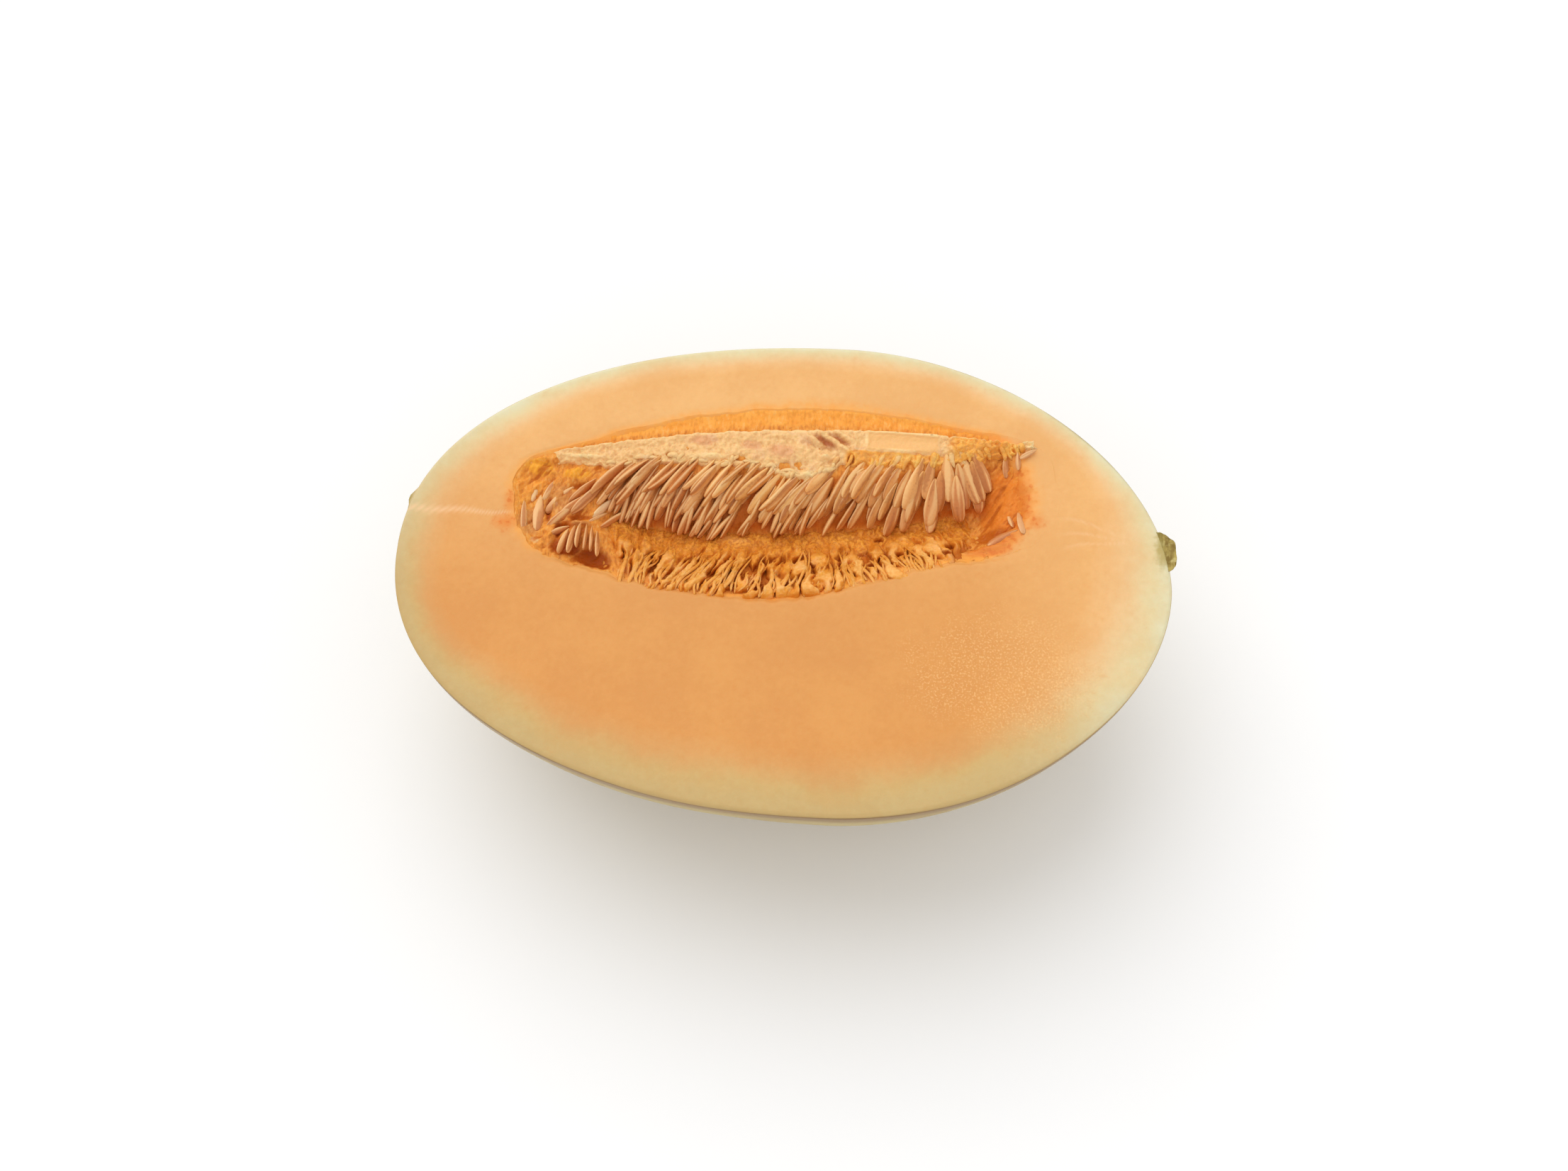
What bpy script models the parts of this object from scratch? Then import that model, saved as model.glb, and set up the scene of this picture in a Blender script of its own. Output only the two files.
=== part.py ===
"""Half of an oval melon, cut lengthwise, lying on its rind with the seeds still in place.

+X runs from the blossom end to the stem end, the viewer stands at -Y, and the cut face is
level at the top. The origin is the middle of the footprint, on the surface below. Metres.
"""

import math
import random

import bmesh
import bpy
from mathutils import Matrix, Vector, noise

MM = 0.001
GAP = 0.35 * MM  # clearance that keeps touching pieces apart
ROOM_SHARE = 0.8  # share of the gap that seeds reaching the wall are held back by
SHARP_ANGLE = math.radians(38)

# The fruit
LENGTH = 170.5 * MM
WIDTH = 113.0 * MM
HEIGHT = 54.0 * MM  # from the flat spot up to the cut face
FLAT_DEPTH = 0.8 * MM  # how much of the round underside the flat spot takes off
WIDEST_X = 12.5 * MM
DEEPEST_X = 3.0 * MM
UNDERCUT = 0.1  # the cut lies this share of the depth below the widest line
BLOSSOM_BLUNTNESS = 2.17  # superellipse exponents: 2 is an ellipse, more is blunter
STEM_BLUNTNESS = 1.87
UNEVENNESS = 0.35 * MM
AROUND_STEPS = 44
LENGTH_STEPS = 34
AXIS_Y = 10.5 * MM  # the stem and the blossom scar lie off the middle, towards the back

# The hollow that holds the seeds
HOLLOW_MIDDLE = Vector((0.0, 17.0 * MM))
HOLLOW_DEPTH = 28.0 * MM
HOLLOW_RISE = 6.0 * MM  # how far the cutter stands out above the cut face
HOLLOW_RIM = [  # the rim in the cut face, in mm, anticlockwise from the stem end
    (60, 25), (55, 34), (34, 38.4), (7, 40.7), (-20, 37.5), (-43, 30.5), (-58, 24), (-61.5, 14),
    (-57, 3.5), (-44, -1.2), (-28, -4.8), (-7, -6.9), (9, -4.8), (30, 2.6), (49, 6.8), (59, 14),
]
RIM_STEPS = 48
WALL_STEPS = 16

# Lines that run the length of the filling: y in mm = a + b x + c x^2, with x in mm
GROOVE_LINE = (12.4, 0.09, 0.0017)  # the lowest line, where the seeds end
HINGE_LINE = (24.6, 0.09, 0.0012)  # where the seeds hang from the pulp
CREST_BACK_LINE = (35.3, 0.07, -0.0019)
NEAR_RIM_LINE = (-6.2, 0.11, 0.0032)
FAR_RIM_LINE = (40.4, 0.05, -0.0035)

# Depths of those lines below the cut face
NEAR_RIM_DEPTH = 1.3 * MM
GROOVE_DEPTH = 10.5 * MM
LEFT_END_DEPTH = 3.6 * MM
RIGHT_END_DEPTH = 6.5 * MM
HINGE_DEPTH = 1.6 * MM
CREST_DEPTH = 0.5 * MM
CREST_BACK_DEPTH = 1.0 * MM
FAR_BAND_DEPTH = 2.4 * MM
FAR_BAND_WIDTH = 2.2 * MM
FAR_RIM_DEPTH = 1.0 * MM
GROOVE_START_X = -46.0 * MM
GROOVE_FULL_X = -26.0 * MM
GROOVE_FADE_X = 40.0 * MM
GROOVE_END_X = 58.0 * MM
RIGHT_END_RISE = (51.0 * MM, 60.5 * MM)  # where the pulp climbs to the rim again, along x
LEFT_END_RISE = (55.0 * MM, 61.5 * MM)
END_RIM_DEPTH = 1.3 * MM

# Seeds
ARRANGEMENT = 7  # starts the draw of random numbers for the small differences between seeds
SEED_LENGTH = 11.4 * MM
SEED_WIDTH = 4.4 * MM
SEED_THICKNESS = 2.3 * MM

# The curtain of seeds that hangs from the crest down to the groove
CURTAIN_TIERS = 3
CURTAIN_START_X = -35.0 * MM
CURTAIN_END_X = 46.0 * MM
CURTAIN_PITCH = 2.9 * MM
CURTAIN_LEAN = 36  # degrees, points towards the stem end, free ends towards the blossom end
CURTAIN_RISE = 2.6 * MM  # how far above the hinge line the first tier starts
TIER_DROP = 3.7 * MM
TIER_LIFT = 1.6 * MM
FAN_START_X = 14.0 * MM  # from here on the seeds fan out and show their flat sides
FAN_LEAN = -16
FAN_TWIST = 75

# Seeds round the ends: x and y of the point in mm, lean and twist in degrees
END_SEEDS = [
    (-58.5, 15.5, 0, 80), (-55.0, 16.0, 2, 95), (-53.0, 20.0, 30, 60), (-47.0, 19.5, 48, 70),
    (-42.0, 18.0, 50, 75), (-39.0, 21.5, 46, 40), (-51.5, 12.0, 8, 60), (54.0, 14.5, 76, 80),
    (51.5, 20.5, 4, 60), (3.0, 32.0, -48, 80), (8.0, 31.0, -52, 85), (52.0, 33.5, 60, 50),
]
LOW_GROUP_COUNT = 7
LOW_GROUP_X = -49.5 * MM
LOW_GROUP_SPAN = 12.0 * MM
LOW_GROUP_Y = 9.0 * MM

# Torn fibres on the near wall
STRAND_START_X = -33.0 * MM
STRAND_END_X = 40.0 * MM
STRAND_PITCH = 3.2 * MM
STRAND_WIDTH = 2.2 * MM
STRAND_LEAN = 22
STRAND_REACH = 0.95  # share of the near wall that a strand covers

# Knobs of pulp along the crest
CREST_START_X = -50.0 * MM
CREST_END_X = 57.0 * MM
CREST_LUMP = 2.2 * MM
CREST_RISE = 3.4 * MM  # how far above the hinge line the knobs lie

# The stem and the scar where the blossom was
STEM_RADIUS = 5.0 * MM
STEM_LENGTH = 2.6 * MM
STEM_ROOT = 4.0 * MM
STEM_TURN = math.radians(8)
STEM_PLACE = Vector((83.7 * MM, AXIS_Y - 1.5 * MM, HEIGHT))
BLOSSOM_SCAR_SIZE = Vector((1.3, 2.4, 2.4)) * MM
BLOSSOM_SCAR_PLACE = Vector((-82.9 * MM, AXIS_Y + 2.0 * MM, HEIGHT))

FLESH_COLOUR = (0.86, 0.43, 0.14)
RIND_COLOUR = (0.72, 0.66, 0.36)
SEED_COLOUR = (0.60, 0.33, 0.14)
STEM_COLOUR = (0.20, 0.15, 0.06)


def along(line, x):
    """The y of one of the filling's lines at a place along the fruit."""
    a, b, c = line
    step = x / MM
    return (a + b * step + c * step * step) * MM


def smooth(value, low, high):
    """0 below low, 1 above high and an S-curve between."""
    t = min(1.0, max(0.0, (value - low) / (high - low)))
    return t * t * (3.0 - 2.0 * t)


def bulge(share, bluntness):
    """A superellipse's height: 1 at its middle and 0 at its tip, where share is 1."""
    return max(0.0, 1.0 - abs(share) ** bluntness) ** (1.0 / bluntness)


def fruit_profile(x, peak_x):
    """How full the fruit is at x, from 0 at its ends to 1 at peak_x."""
    if x > peak_x:
        return bulge((x - peak_x) / (LENGTH / 2 - peak_x), STEM_BLUNTNESS)
    return bulge((x - peak_x) / (LENGTH / 2 + peak_x), BLOSSOM_BLUNTNESS)


def on_rind(direction, grow=0.0):
    """The point of the rind that lies in a direction from the middle of the fruit."""
    x = direction.x * LENGTH / 2
    across = math.hypot(direction.y, direction.z) or 1.0
    half_width = WIDTH / 2 * fruit_profile(x, WIDEST_X) / math.sqrt(1 - UNDERCUT**2)
    half_depth = (HEIGHT + FLAT_DEPTH) / (1 - UNDERCUT) * fruit_profile(x, DEEPEST_X)
    wave = UNEVENNESS * noise.noise(direction * 2.2)
    y = (half_width + wave) * direction.y / across
    z = HEIGHT + half_depth * (direction.z / across + UNDERCUT) - wave * (direction.z < 0)
    return Vector((x, y, z)) + direction * grow


def rim_point(turn):
    """The rim of the hollow as a closed Catmull-Rom curve. turn goes from 0 to 1."""
    count = len(HOLLOW_RIM)
    place = turn * count
    index = int(place)
    t = place - index
    p0, p1, p2, p3 = (Vector(HOLLOW_RIM[(index + k) % count]) * MM for k in (-1, 0, 1, 2))
    return 0.5 * (
        2 * p1 + (p2 - p0) * t + (2 * p0 - 5 * p1 + 4 * p2 - p3) * t**2
        + (3 * p1 - 3 * p2 + p3 - p0) * t**3
    )


def filling_height(x, y):
    """The height of the pulp's surface: near rim, groove, curtain of seeds, crest, far rim."""
    open_end = smooth(x, GROOVE_START_X, GROOVE_FULL_X)
    groove_depth = LEFT_END_DEPTH + (GROOVE_DEPTH - LEFT_END_DEPTH) * open_end
    groove_depth += (RIGHT_END_DEPTH - GROOVE_DEPTH) * smooth(x, GROOVE_FADE_X, GROOVE_END_X)
    hinge_depth = LEFT_END_DEPTH + (HINGE_DEPTH - LEFT_END_DEPTH) * smooth(x, -58 * MM, -44 * MM)
    knots = [
        (along(NEAR_RIM_LINE, x), NEAR_RIM_DEPTH),
        (along(GROOVE_LINE, x), groove_depth),
        (along(HINGE_LINE, x), hinge_depth),
        (0.5 * (along(HINGE_LINE, x) + along(CREST_BACK_LINE, x)), CREST_DEPTH),
        (along(CREST_BACK_LINE, x), CREST_BACK_DEPTH),
        (along(CREST_BACK_LINE, x) + FAR_BAND_WIDTH, FAR_BAND_DEPTH),
        (along(FAR_RIM_LINE, x), FAR_RIM_DEPTH),
    ]
    depth = knots[-1][1]
    if y <= knots[0][0]:
        depth = knots[0][1]
    for (y0, d0), (y1, d1) in zip(knots, knots[1:]):
        if y0 < y <= y1:
            depth = d0 + (d1 - d0) * smooth(y, y0, y1)
    ends = max(smooth(x, *RIGHT_END_RISE), smooth(-x, *LEFT_END_RISE))
    return HEIGHT - depth - (END_RIM_DEPTH - depth) * ends


def filling_normal(x, y):
    step = 0.8 * MM
    rise_x = (filling_height(x + step, y) - filling_height(x - step, y)) / (2 * step)
    rise_y = (filling_height(x, y + step) - filling_height(x, y - step)) / (2 * step)
    return Vector((-rise_x, -rise_y, 1.0)).normalized()


def material(name, colour, roughness):
    made = bpy.data.materials.new(name)
    made.use_nodes = True
    shader = made.node_tree.nodes["Principled BSDF"]
    shader.inputs["Base Color"].default_value = (*colour, 1.0)
    shader.inputs["Roughness"].default_value = roughness
    shader.inputs["Metallic"].default_value = 0.0
    made.diffuse_color = (*colour, 1.0)
    return made


def object_of(mesh_builder, name, collection, finish=None):
    """Turns a bmesh into a named object in a collection."""
    bmesh.ops.recalc_face_normals(mesh_builder, faces=mesh_builder.faces)
    mesh = bpy.data.meshes.new(name)
    mesh_builder.to_mesh(mesh)
    mesh_builder.free()
    made = bpy.data.objects.new(name, mesh)
    collection.objects.link(made)
    if finish:
        mesh.materials.append(finish)
    return made


def fruit_mesh(grow=0.0):
    """The whole fruit: a sphere with its poles at the two ends, drawn out into the melon."""
    made = bmesh.new()
    poles_along_x = Matrix.Rotation(math.pi / 2, 4, "Y")
    bmesh.ops.create_uvsphere(
        made, u_segments=AROUND_STEPS, v_segments=LENGTH_STEPS, radius=1.0, matrix=poles_along_x
    )
    for vert in made.verts:
        vert.co = on_rind(vert.co.normalized(), grow)
    return made


def trim(mesh_builder, height, keep_above):
    """Cuts a mesh level and closes the cut with one flat face."""
    cut = bmesh.ops.bisect_plane(
        mesh_builder,
        geom=mesh_builder.verts[:] + mesh_builder.edges[:] + mesh_builder.faces[:],
        plane_co=(0, 0, height),
        plane_no=(0, 0, 1),
        clear_outer=not keep_above,
        clear_inner=keep_above,
    )
    rim = [item for item in cut["geom_cut"] if isinstance(item, bmesh.types.BMEdge)]
    return bmesh.ops.contextual_create(mesh_builder, geom=rim)["faces"]


def shade(piece):
    """Smooth shading, with the edges of the cut left crisp."""
    piece.data.shade_smooth()
    piece.data.set_sharp_from_angle(angle=SHARP_ANGLE)


def hollow_mesh(inset=0.0):
    """The space that the seeds fill, standing out above the cut face, drawn in by inset."""
    made = bmesh.new()
    bmesh.ops.create_uvsphere(made, u_segments=RIM_STEPS, v_segments=WALL_STEPS, radius=1.0)
    upper = {vert for vert in made.verts if vert.co.z > -0.01}
    for vert in made.verts:
        share = min(1.0, math.hypot(vert.co.x, vert.co.y))
        turn = (math.atan2(vert.co.y, vert.co.x) / math.tau) % 1.0
        plan = (rim_point(turn) - HOLLOW_MIDDLE) * share
        depth = -HOLLOW_RISE if vert in upper else HOLLOW_DEPTH * (1 - share**2.2) ** 0.55
        if vert in upper:
            plan *= 1 - 2 * inset / max(plan.length, 10 * MM)
        plan += HOLLOW_MIDDLE
        vert.co = Vector((plan.x, plan.y, HEIGHT - depth))
    bmesh.ops.recalc_face_normals(made, faces=made.faces)
    inward = {vert: -vert.normal for vert in made.verts if vert not in upper}
    for vert, direction in inward.items():
        vert.co += direction * inset
    return made


def filling_core():
    """The pulp that fills the hollow, clear of its wall, with the groove in its top."""
    made = hollow_mesh(GAP)
    for vert in made.verts:
        if vert.co.z > HEIGHT:
            vert.co.z = filling_height(vert.co.x, vert.co.y)
    return made


def laid_on_filling(x, y, lean, reach, lift, twist, sink):
    """A frame whose -Z runs from the pulp's surface at (x, y) over a stretch of it.

    lean turns the stretch from the viewer's side towards the blossom end, lift raises its far
    end off the pulp, twist turns the piece about its own length, and sink sets it into the pulp.
    """
    far_x = x - reach * math.sin(lean)
    far_y = y - reach * math.cos(lean)
    normal = filling_normal(x, y)
    near = Vector((x, y, filling_height(x, y))) - normal * sink
    far = Vector((far_x, far_y, filling_height(far_x, far_y))) + normal * (lift - sink)
    axis = (far - near).normalized()
    thin = Matrix.Rotation(twist, 3, axis) @ axis.cross(normal).normalized()
    wide = thin.cross(axis)
    return Matrix.Translation(near) @ Matrix((thin, wide, -axis)).transposed().to_4x4()


def curtain_seeds(draw):
    """The tiers of seeds that hang from the crest, stacked on edge like cards."""
    for tier in range(CURTAIN_TIERS):
        x = CURTAIN_START_X + tier * 0.4 * CURTAIN_PITCH
        while x < CURTAIN_END_X:
            fan = smooth(x, FAN_START_X, CURTAIN_END_X)
            lean = math.radians(CURTAIN_LEAN + (FAN_LEAN - CURTAIN_LEAN) * fan + draw.uniform(-7, 7))
            twist = math.radians(FAN_TWIST * fan + draw.uniform(-16, 16))
            drop = tier * TIER_DROP - CURTAIN_RISE + draw.uniform(-0.5, 0.5) * MM
            y = along(HINGE_LINE, x) - drop * math.cos(lean)
            lift = (TIER_LIFT - 0.4 * MM * tier) + draw.uniform(-0.3, 0.5) * MM
            size = draw.uniform(0.92, 1.06)
            place = laid_on_filling(
                x - drop * math.sin(lean), y, lean, SEED_LENGTH * 0.9, lift, twist, 0.4 * MM
            )
            yield place @ Matrix.Scale(size, 4)
            x += CURTAIN_PITCH * (1 + 0.75 * fan) * draw.uniform(0.9, 1.1)


def end_seeds(draw):
    """The few seeds round the two ends: x, y in mm, lean and twist in degrees."""
    for x, y, lean, twist in END_SEEDS:
        lean, twist = math.radians(lean), math.radians(twist)
        place = laid_on_filling(
            x * MM, y * MM, lean, SEED_LENGTH * 0.9, 0.6 * MM, twist, 0.1 * MM
        )
        yield place @ Matrix.Scale(draw.uniform(0.95, 1.05), 4)
    for step in range(LOW_GROUP_COUNT):
        share = step / (LOW_GROUP_COUNT - 1)
        x = LOW_GROUP_X + LOW_GROUP_SPAN * share
        lean = math.radians(18 - 30 * share)
        twist = draw.uniform(-0.3, 0.3)
        place = laid_on_filling(
            x, LOW_GROUP_Y, lean, SEED_LENGTH * 0.8, 0.6 * MM, twist, 0.2 * MM
        )
        yield place @ Matrix.Scale(0.8, 4)


def strands(draw):
    """The torn fibres on the near wall: each runs from beside the groove up to the rim."""
    x = STRAND_START_X
    while x < STRAND_END_X:
        start_y = along(GROOVE_LINE, x) - draw.uniform(0.5, 3.0) * MM
        reach = (start_y - along(NEAR_RIM_LINE, x)) * STRAND_REACH
        share = (x - STRAND_START_X) / (STRAND_END_X - STRAND_START_X)
        lean = math.radians(STRAND_LEAN * (1 - 2 * share))
        width = draw.uniform(0.7, 1.2) * STRAND_WIDTH
        yield laid_on_filling(x, start_y, lean, reach, 0, 0, -0.2 * MM), (width, width, reach)
        x += STRAND_PITCH * draw.uniform(0.8, 1.2)


def crest_lumps(draw):
    """The knobs of pulp along the crest that the seeds hang from."""
    x = CREST_START_X
    while x < CREST_END_X:
        y = along(HINGE_LINE, x) + CREST_RISE + draw.uniform(-0.7, 0.7) * MM
        size = draw.uniform(0.8, 1.25) * CREST_LUMP
        turn = Matrix.Rotation(draw.uniform(-0.5, 0.5), 4, "Z")
        place = Matrix.Translation((x, y, filling_height(x, y) - 0.35 * size))
        yield place @ turn @ Matrix.Diagonal((size * 1.3, size, size * 0.62, 1))
        x += CREST_LUMP * draw.uniform(1.3, 1.9)


def drop_mesh(width, thickness, length, sides=6, rings=4):
    """A flat drop with its point at the origin, lying along -Z, wide along Y."""
    made = bmesh.new()
    bmesh.ops.create_uvsphere(made, u_segments=sides, v_segments=rings, radius=1.0)
    for vert in made.verts:
        down = (1 - vert.co.z) / 2
        fullness = 0.76 + 0.42 * down
        across = (vert.co.x * thickness / 2 * fullness, vert.co.y * width / 2 * fullness)
        vert.co = Vector((*across, -down * length))
    return made


def lump_mesh():
    """A rough little ball."""
    made = bmesh.new()
    bmesh.ops.create_icosphere(made, subdivisions=1, radius=1.0)
    return made


def keep_outer_shell(mesh):
    """Drops the scraps and the sealed hollows that a union leaves: all but the largest shell."""
    shells = bmesh.new()
    shells.from_mesh(mesh)
    unseen = set(shells.verts)
    groups = []
    while unseen:
        front = [unseen.pop()]
        group = set(front)
        while front:
            for edge in front.pop().link_edges:
                for vert in edge.verts:
                    if vert in unseen:
                        unseen.discard(vert)
                        group.add(vert)
                        front.append(vert)
        groups.append(group)
    groups.sort(key=len)
    doomed = [vert for group in groups[:-1] for vert in group]
    bmesh.ops.delete(shells, geom=doomed, context="VERTS")
    bmesh.ops.dissolve_degenerate(shells, dist=0.01 * MM, edges=shells.edges)
    shells.to_mesh(mesh)
    shells.free()


def apply_boolean(target, operation, solver="EXACT", other=None, collection=None):
    """Joins to, cuts from or trims a piece with one object or with a whole collection."""
    modifier = target.modifiers.new(operation.title(), "BOOLEAN")
    modifier.operation = operation
    modifier.solver = solver
    if collection:
        modifier.operand_type = "COLLECTION"
        modifier.collection = collection
    else:
        modifier.object = other
    graph = bpy.context.evaluated_depsgraph_get()
    result = bpy.data.meshes.new_from_object(target.evaluated_get(graph))
    target.modifiers.clear()
    target.data = result


def build_melon_half(parts, cutters):
    """The flesh and its rind as one solid, with the hollow and the flat spot cut."""
    flesh = material("flesh", FLESH_COLOUR, 0.45)
    rind = material("rind", RIND_COLOUR, 0.5)
    melon = object_of(fruit_mesh(), "melon_half", parts, rind)
    melon.data.materials.append(flesh)
    scar = bmesh.new()
    bmesh.ops.create_uvsphere(scar, u_segments=12, v_segments=8, radius=1.0)
    bmesh.ops.scale(scar, verts=scar.verts, vec=BLOSSOM_SCAR_SIZE)
    bmesh.ops.translate(scar, verts=scar.verts, vec=BLOSSOM_SCAR_PLACE)
    apply_boolean(melon, "UNION", other=object_of(scar, "blossom_scar", cutters))
    body = bmesh.new()
    body.from_mesh(melon.data)
    for face in trim(body, HEIGHT, keep_above=False):
        face.material_index = 1
    trim(body, 0.0, keep_above=True)
    body.to_mesh(melon.data)
    body.free()
    apply_boolean(melon, "DIFFERENCE", other=object_of(hollow_mesh(), "hollow", cutters, flesh))
    shade(melon)


def build_seed_mass(parts, cutters, loose):
    """The pulp with its seeds, fibres and knobs, fused into one solid inside the hollow."""
    draw = random.Random(ARRANGEMENT)
    finish = material("pulp_and_seeds", SEED_COLOUR, 0.4)
    mass = object_of(filling_core(), "seed_mass", parts, finish)
    for place in [*curtain_seeds(draw), *end_seeds(draw)]:
        seed = object_of(drop_mesh(SEED_WIDTH, SEED_THICKNESS, SEED_LENGTH), "seed", loose)
        seed.matrix_world = place
    for place, size in strands(draw):
        strand = object_of(drop_mesh(*size, sides=5, rings=3), "strand", loose)
        strand.matrix_world = place
    for place in crest_lumps(draw):
        knob = object_of(lump_mesh(), "knob", loose)
        knob.matrix_world = place
    bpy.context.view_layer.update()
    apply_boolean(mass, "UNION", solver="MANIFOLD", collection=loose)
    room = object_of(hollow_mesh(ROOM_SHARE * GAP), "room", cutters)
    apply_boolean(mass, "INTERSECT", solver="MANIFOLD", other=room)
    keep_outer_shell(mass.data)
    for piece in list(loose.objects):
        bpy.data.objects.remove(piece)
    bpy.data.collections.remove(loose)
    shade(mass)


def build_stem(parts, cutters):
    """A short corky stub, cut in half with the fruit, with a flared foot on the rind."""
    profile = bmesh.new()
    ring = [
        (0.0, STEM_LENGTH), (0.62, STEM_LENGTH), (0.8, 0.9 * STEM_LENGTH), (0.78, 0.5 * STEM_LENGTH),
        (1.0, 0.18 * STEM_LENGTH), (1.06, -STEM_ROOT), (0.0, -STEM_ROOT),
    ]
    verts = [profile.verts.new((STEM_RADIUS * radius, 0, height)) for radius, height in ring]
    for a, b in zip(verts, verts[1:]):
        profile.edges.new((a, b))
    bmesh.ops.spin(
        profile, geom=profile.verts[:] + profile.edges[:], cent=(0, 0, 0), axis=(0, 0, 1),
        angle=math.tau, steps=16, use_merge=True,
    )
    bmesh.ops.remove_doubles(profile, verts=profile.verts, dist=0.01 * MM)
    outward = Matrix.Rotation(math.radians(90), 4, "Y")
    aside = Matrix.Rotation(STEM_TURN, 4, "Z")
    bmesh.ops.transform(
        profile, verts=profile.verts, matrix=Matrix.Translation(STEM_PLACE) @ aside @ outward
    )
    trim(profile, HEIGHT, keep_above=False)
    stem = object_of(profile, "stem_stub", parts, material("stem", STEM_COLOUR, 0.8))
    clearance = object_of(fruit_mesh(GAP), "fruit_clearance", cutters)
    apply_boolean(stem, "DIFFERENCE", other=clearance)
    keep_outer_shell(stem.data)
    shade(stem)


def centre_on_footprint(parts):
    """Moves everything so that the origin is the middle of the box's underside."""
    corners = [vert.co for piece in parts.objects for vert in piece.data.vertices]
    low = Vector(map(min, *corners))
    high = Vector(map(max, *corners))
    shift = Vector((-(low.x + high.x) / 2, -(low.y + high.y) / 2, -low.z))
    for piece in parts.objects:
        piece.data.transform(Matrix.Translation(shift))


def main():
    for leftover in list(bpy.data.objects):
        bpy.data.objects.remove(leftover)
    parts = bpy.data.collections.new("melon_half")
    cutters = bpy.data.collections.new("cutters")
    loose = bpy.data.collections.new("loose_pieces")
    for group in (parts, cutters, loose):
        bpy.context.scene.collection.children.link(group)
    build_melon_half(parts, cutters)
    build_seed_mass(parts, cutters, loose)
    build_stem(parts, cutters)
    for cutter in list(cutters.objects):
        bpy.data.objects.remove(cutter)
    centre_on_footprint(parts)


main()
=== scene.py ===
"""Half of an oval melon, cut lengthwise: moist orange flesh, a hollow of torn pulp and its seeds.

The pieces are worked out in millimetres in the melon's own frame: +X towards the stem end, the
viewer at -Y, the cut face level at HEIGHT. They are then set in the frame of the CAD model.
"""

import math
import random
from bisect import bisect_right

import bmesh
import bpy
import numpy as np
from bpy.props import FloatProperty, FloatVectorProperty, IntProperty, PointerProperty
from mathutils import Matrix, Vector, noise


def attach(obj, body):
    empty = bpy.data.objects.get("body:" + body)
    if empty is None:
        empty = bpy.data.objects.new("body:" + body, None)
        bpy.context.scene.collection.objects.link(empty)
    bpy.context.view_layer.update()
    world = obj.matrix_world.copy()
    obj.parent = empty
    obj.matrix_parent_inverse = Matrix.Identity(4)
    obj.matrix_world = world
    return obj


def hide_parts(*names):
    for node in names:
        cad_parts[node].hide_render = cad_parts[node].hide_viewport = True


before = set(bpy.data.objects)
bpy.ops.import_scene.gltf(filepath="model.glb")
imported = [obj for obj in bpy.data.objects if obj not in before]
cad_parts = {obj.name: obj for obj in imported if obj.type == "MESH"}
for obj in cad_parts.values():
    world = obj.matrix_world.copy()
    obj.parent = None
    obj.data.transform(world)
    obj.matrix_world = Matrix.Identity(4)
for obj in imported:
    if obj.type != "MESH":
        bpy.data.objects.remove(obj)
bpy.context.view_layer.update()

bl_info = {
    "name": "Melon Half",
    "version": (1, 0, 0),
    "blender": (4, 5, 0),
    "location": "View3D > Sidebar > Melon",
    "description": "Models half a melon with its seeds",
    "category": "Add Mesh",
}

MM = 0.001
FRAME_SHIFT = Vector((-0.7266, -0.0723, 0.0))  # from the melon's frame to the CAD model's, in mm

# The fruit, in mm
LENGTH = 170.5
WIDTH = 113.0
HEIGHT = 54.0
FLAT_DEPTH = 0.8
WIDEST_X = 12.5
DEEPEST_X = 3.0
UNDERCUT = 0.1
BLOSSOM_BLUNTNESS = 2.17
STEM_BLUNTNESS = 1.87
UNEVENNESS = 0.35
SCAR = Vector((-82.9, 12.5, HEIGHT))
SCAR_SIZE = Vector((1.3, 2.4, 2.4))
STEM = Vector((83.7, 9.0, HEIGHT))

# The hollow
HOLLOW_MIDDLE = Vector((0.0, 17.0))
HOLLOW_REACH = Vector((60.0, 23.0))
HOLLOW_DEPTH = 28.0
HOLLOW_RIM = [
    (60, 25), (55, 34), (34, 38.4), (7, 40.7), (-20, 37.5), (-43, 30.5), (-58, 24), (-61.5, 14),
    (-57, 3.5), (-44, -1.2), (-28, -4.8), (-7, -6.9), (9, -4.8), (30, 2.6), (49, 6.8), (59, 14),
]

# Lines along the filling, y = a + b x + c x^2, and their depths below the cut face
GROOVE_LINE = (12.4, 0.09, 0.0017)
HINGE_LINE = (24.6, 0.09, 0.0012)
CREST_BACK_LINE = (35.3, 0.07, -0.0019)
NEAR_RIM_LINE = (-6.2, 0.11, 0.0032)
FAR_RIM_LINE = (40.4, 0.05, -0.0035)
NEAR_RIM_DEPTH = 1.3
GROOVE_DEPTH = 10.5
LEFT_END_DEPTH = 3.6
RIGHT_END_DEPTH = 6.5
HINGE_DEPTH = 1.6
CREST_DEPTH = 0.5
CREST_BACK_DEPTH = 0.6
FAR_BAND_DEPTH = 0.65
FAR_BAND_WIDTH = 2.2
FAR_RIM_DEPTH = 0.3
END_RIM_DEPTH = 1.6
WALL_CURVE = 1.5
STEEP_WALL_CURVE = 0.75
WALL_SPREAD = 1.3
SHELF = 5.5  # how far in the flesh stays nearly level at the stem end

# The front edge of the pale crest, measured from the hinge
FRONT_X = (-56, -48, -40, -34, -27, -20, -12, -7, -3, 1, 4.5, 8, 11, 14, 18, 25, 31, 46, 59)
FRONT_REACH = (
    1.6, 1.2, 0.9, 1.5, 2.8, 2.3, 1.9, 1.4, 0.2, -1.2,
    -1.6, -0.3, 1.3, 1.8, 1.2, 0.6, 0.2, 0.2, 0.3,
)

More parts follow.
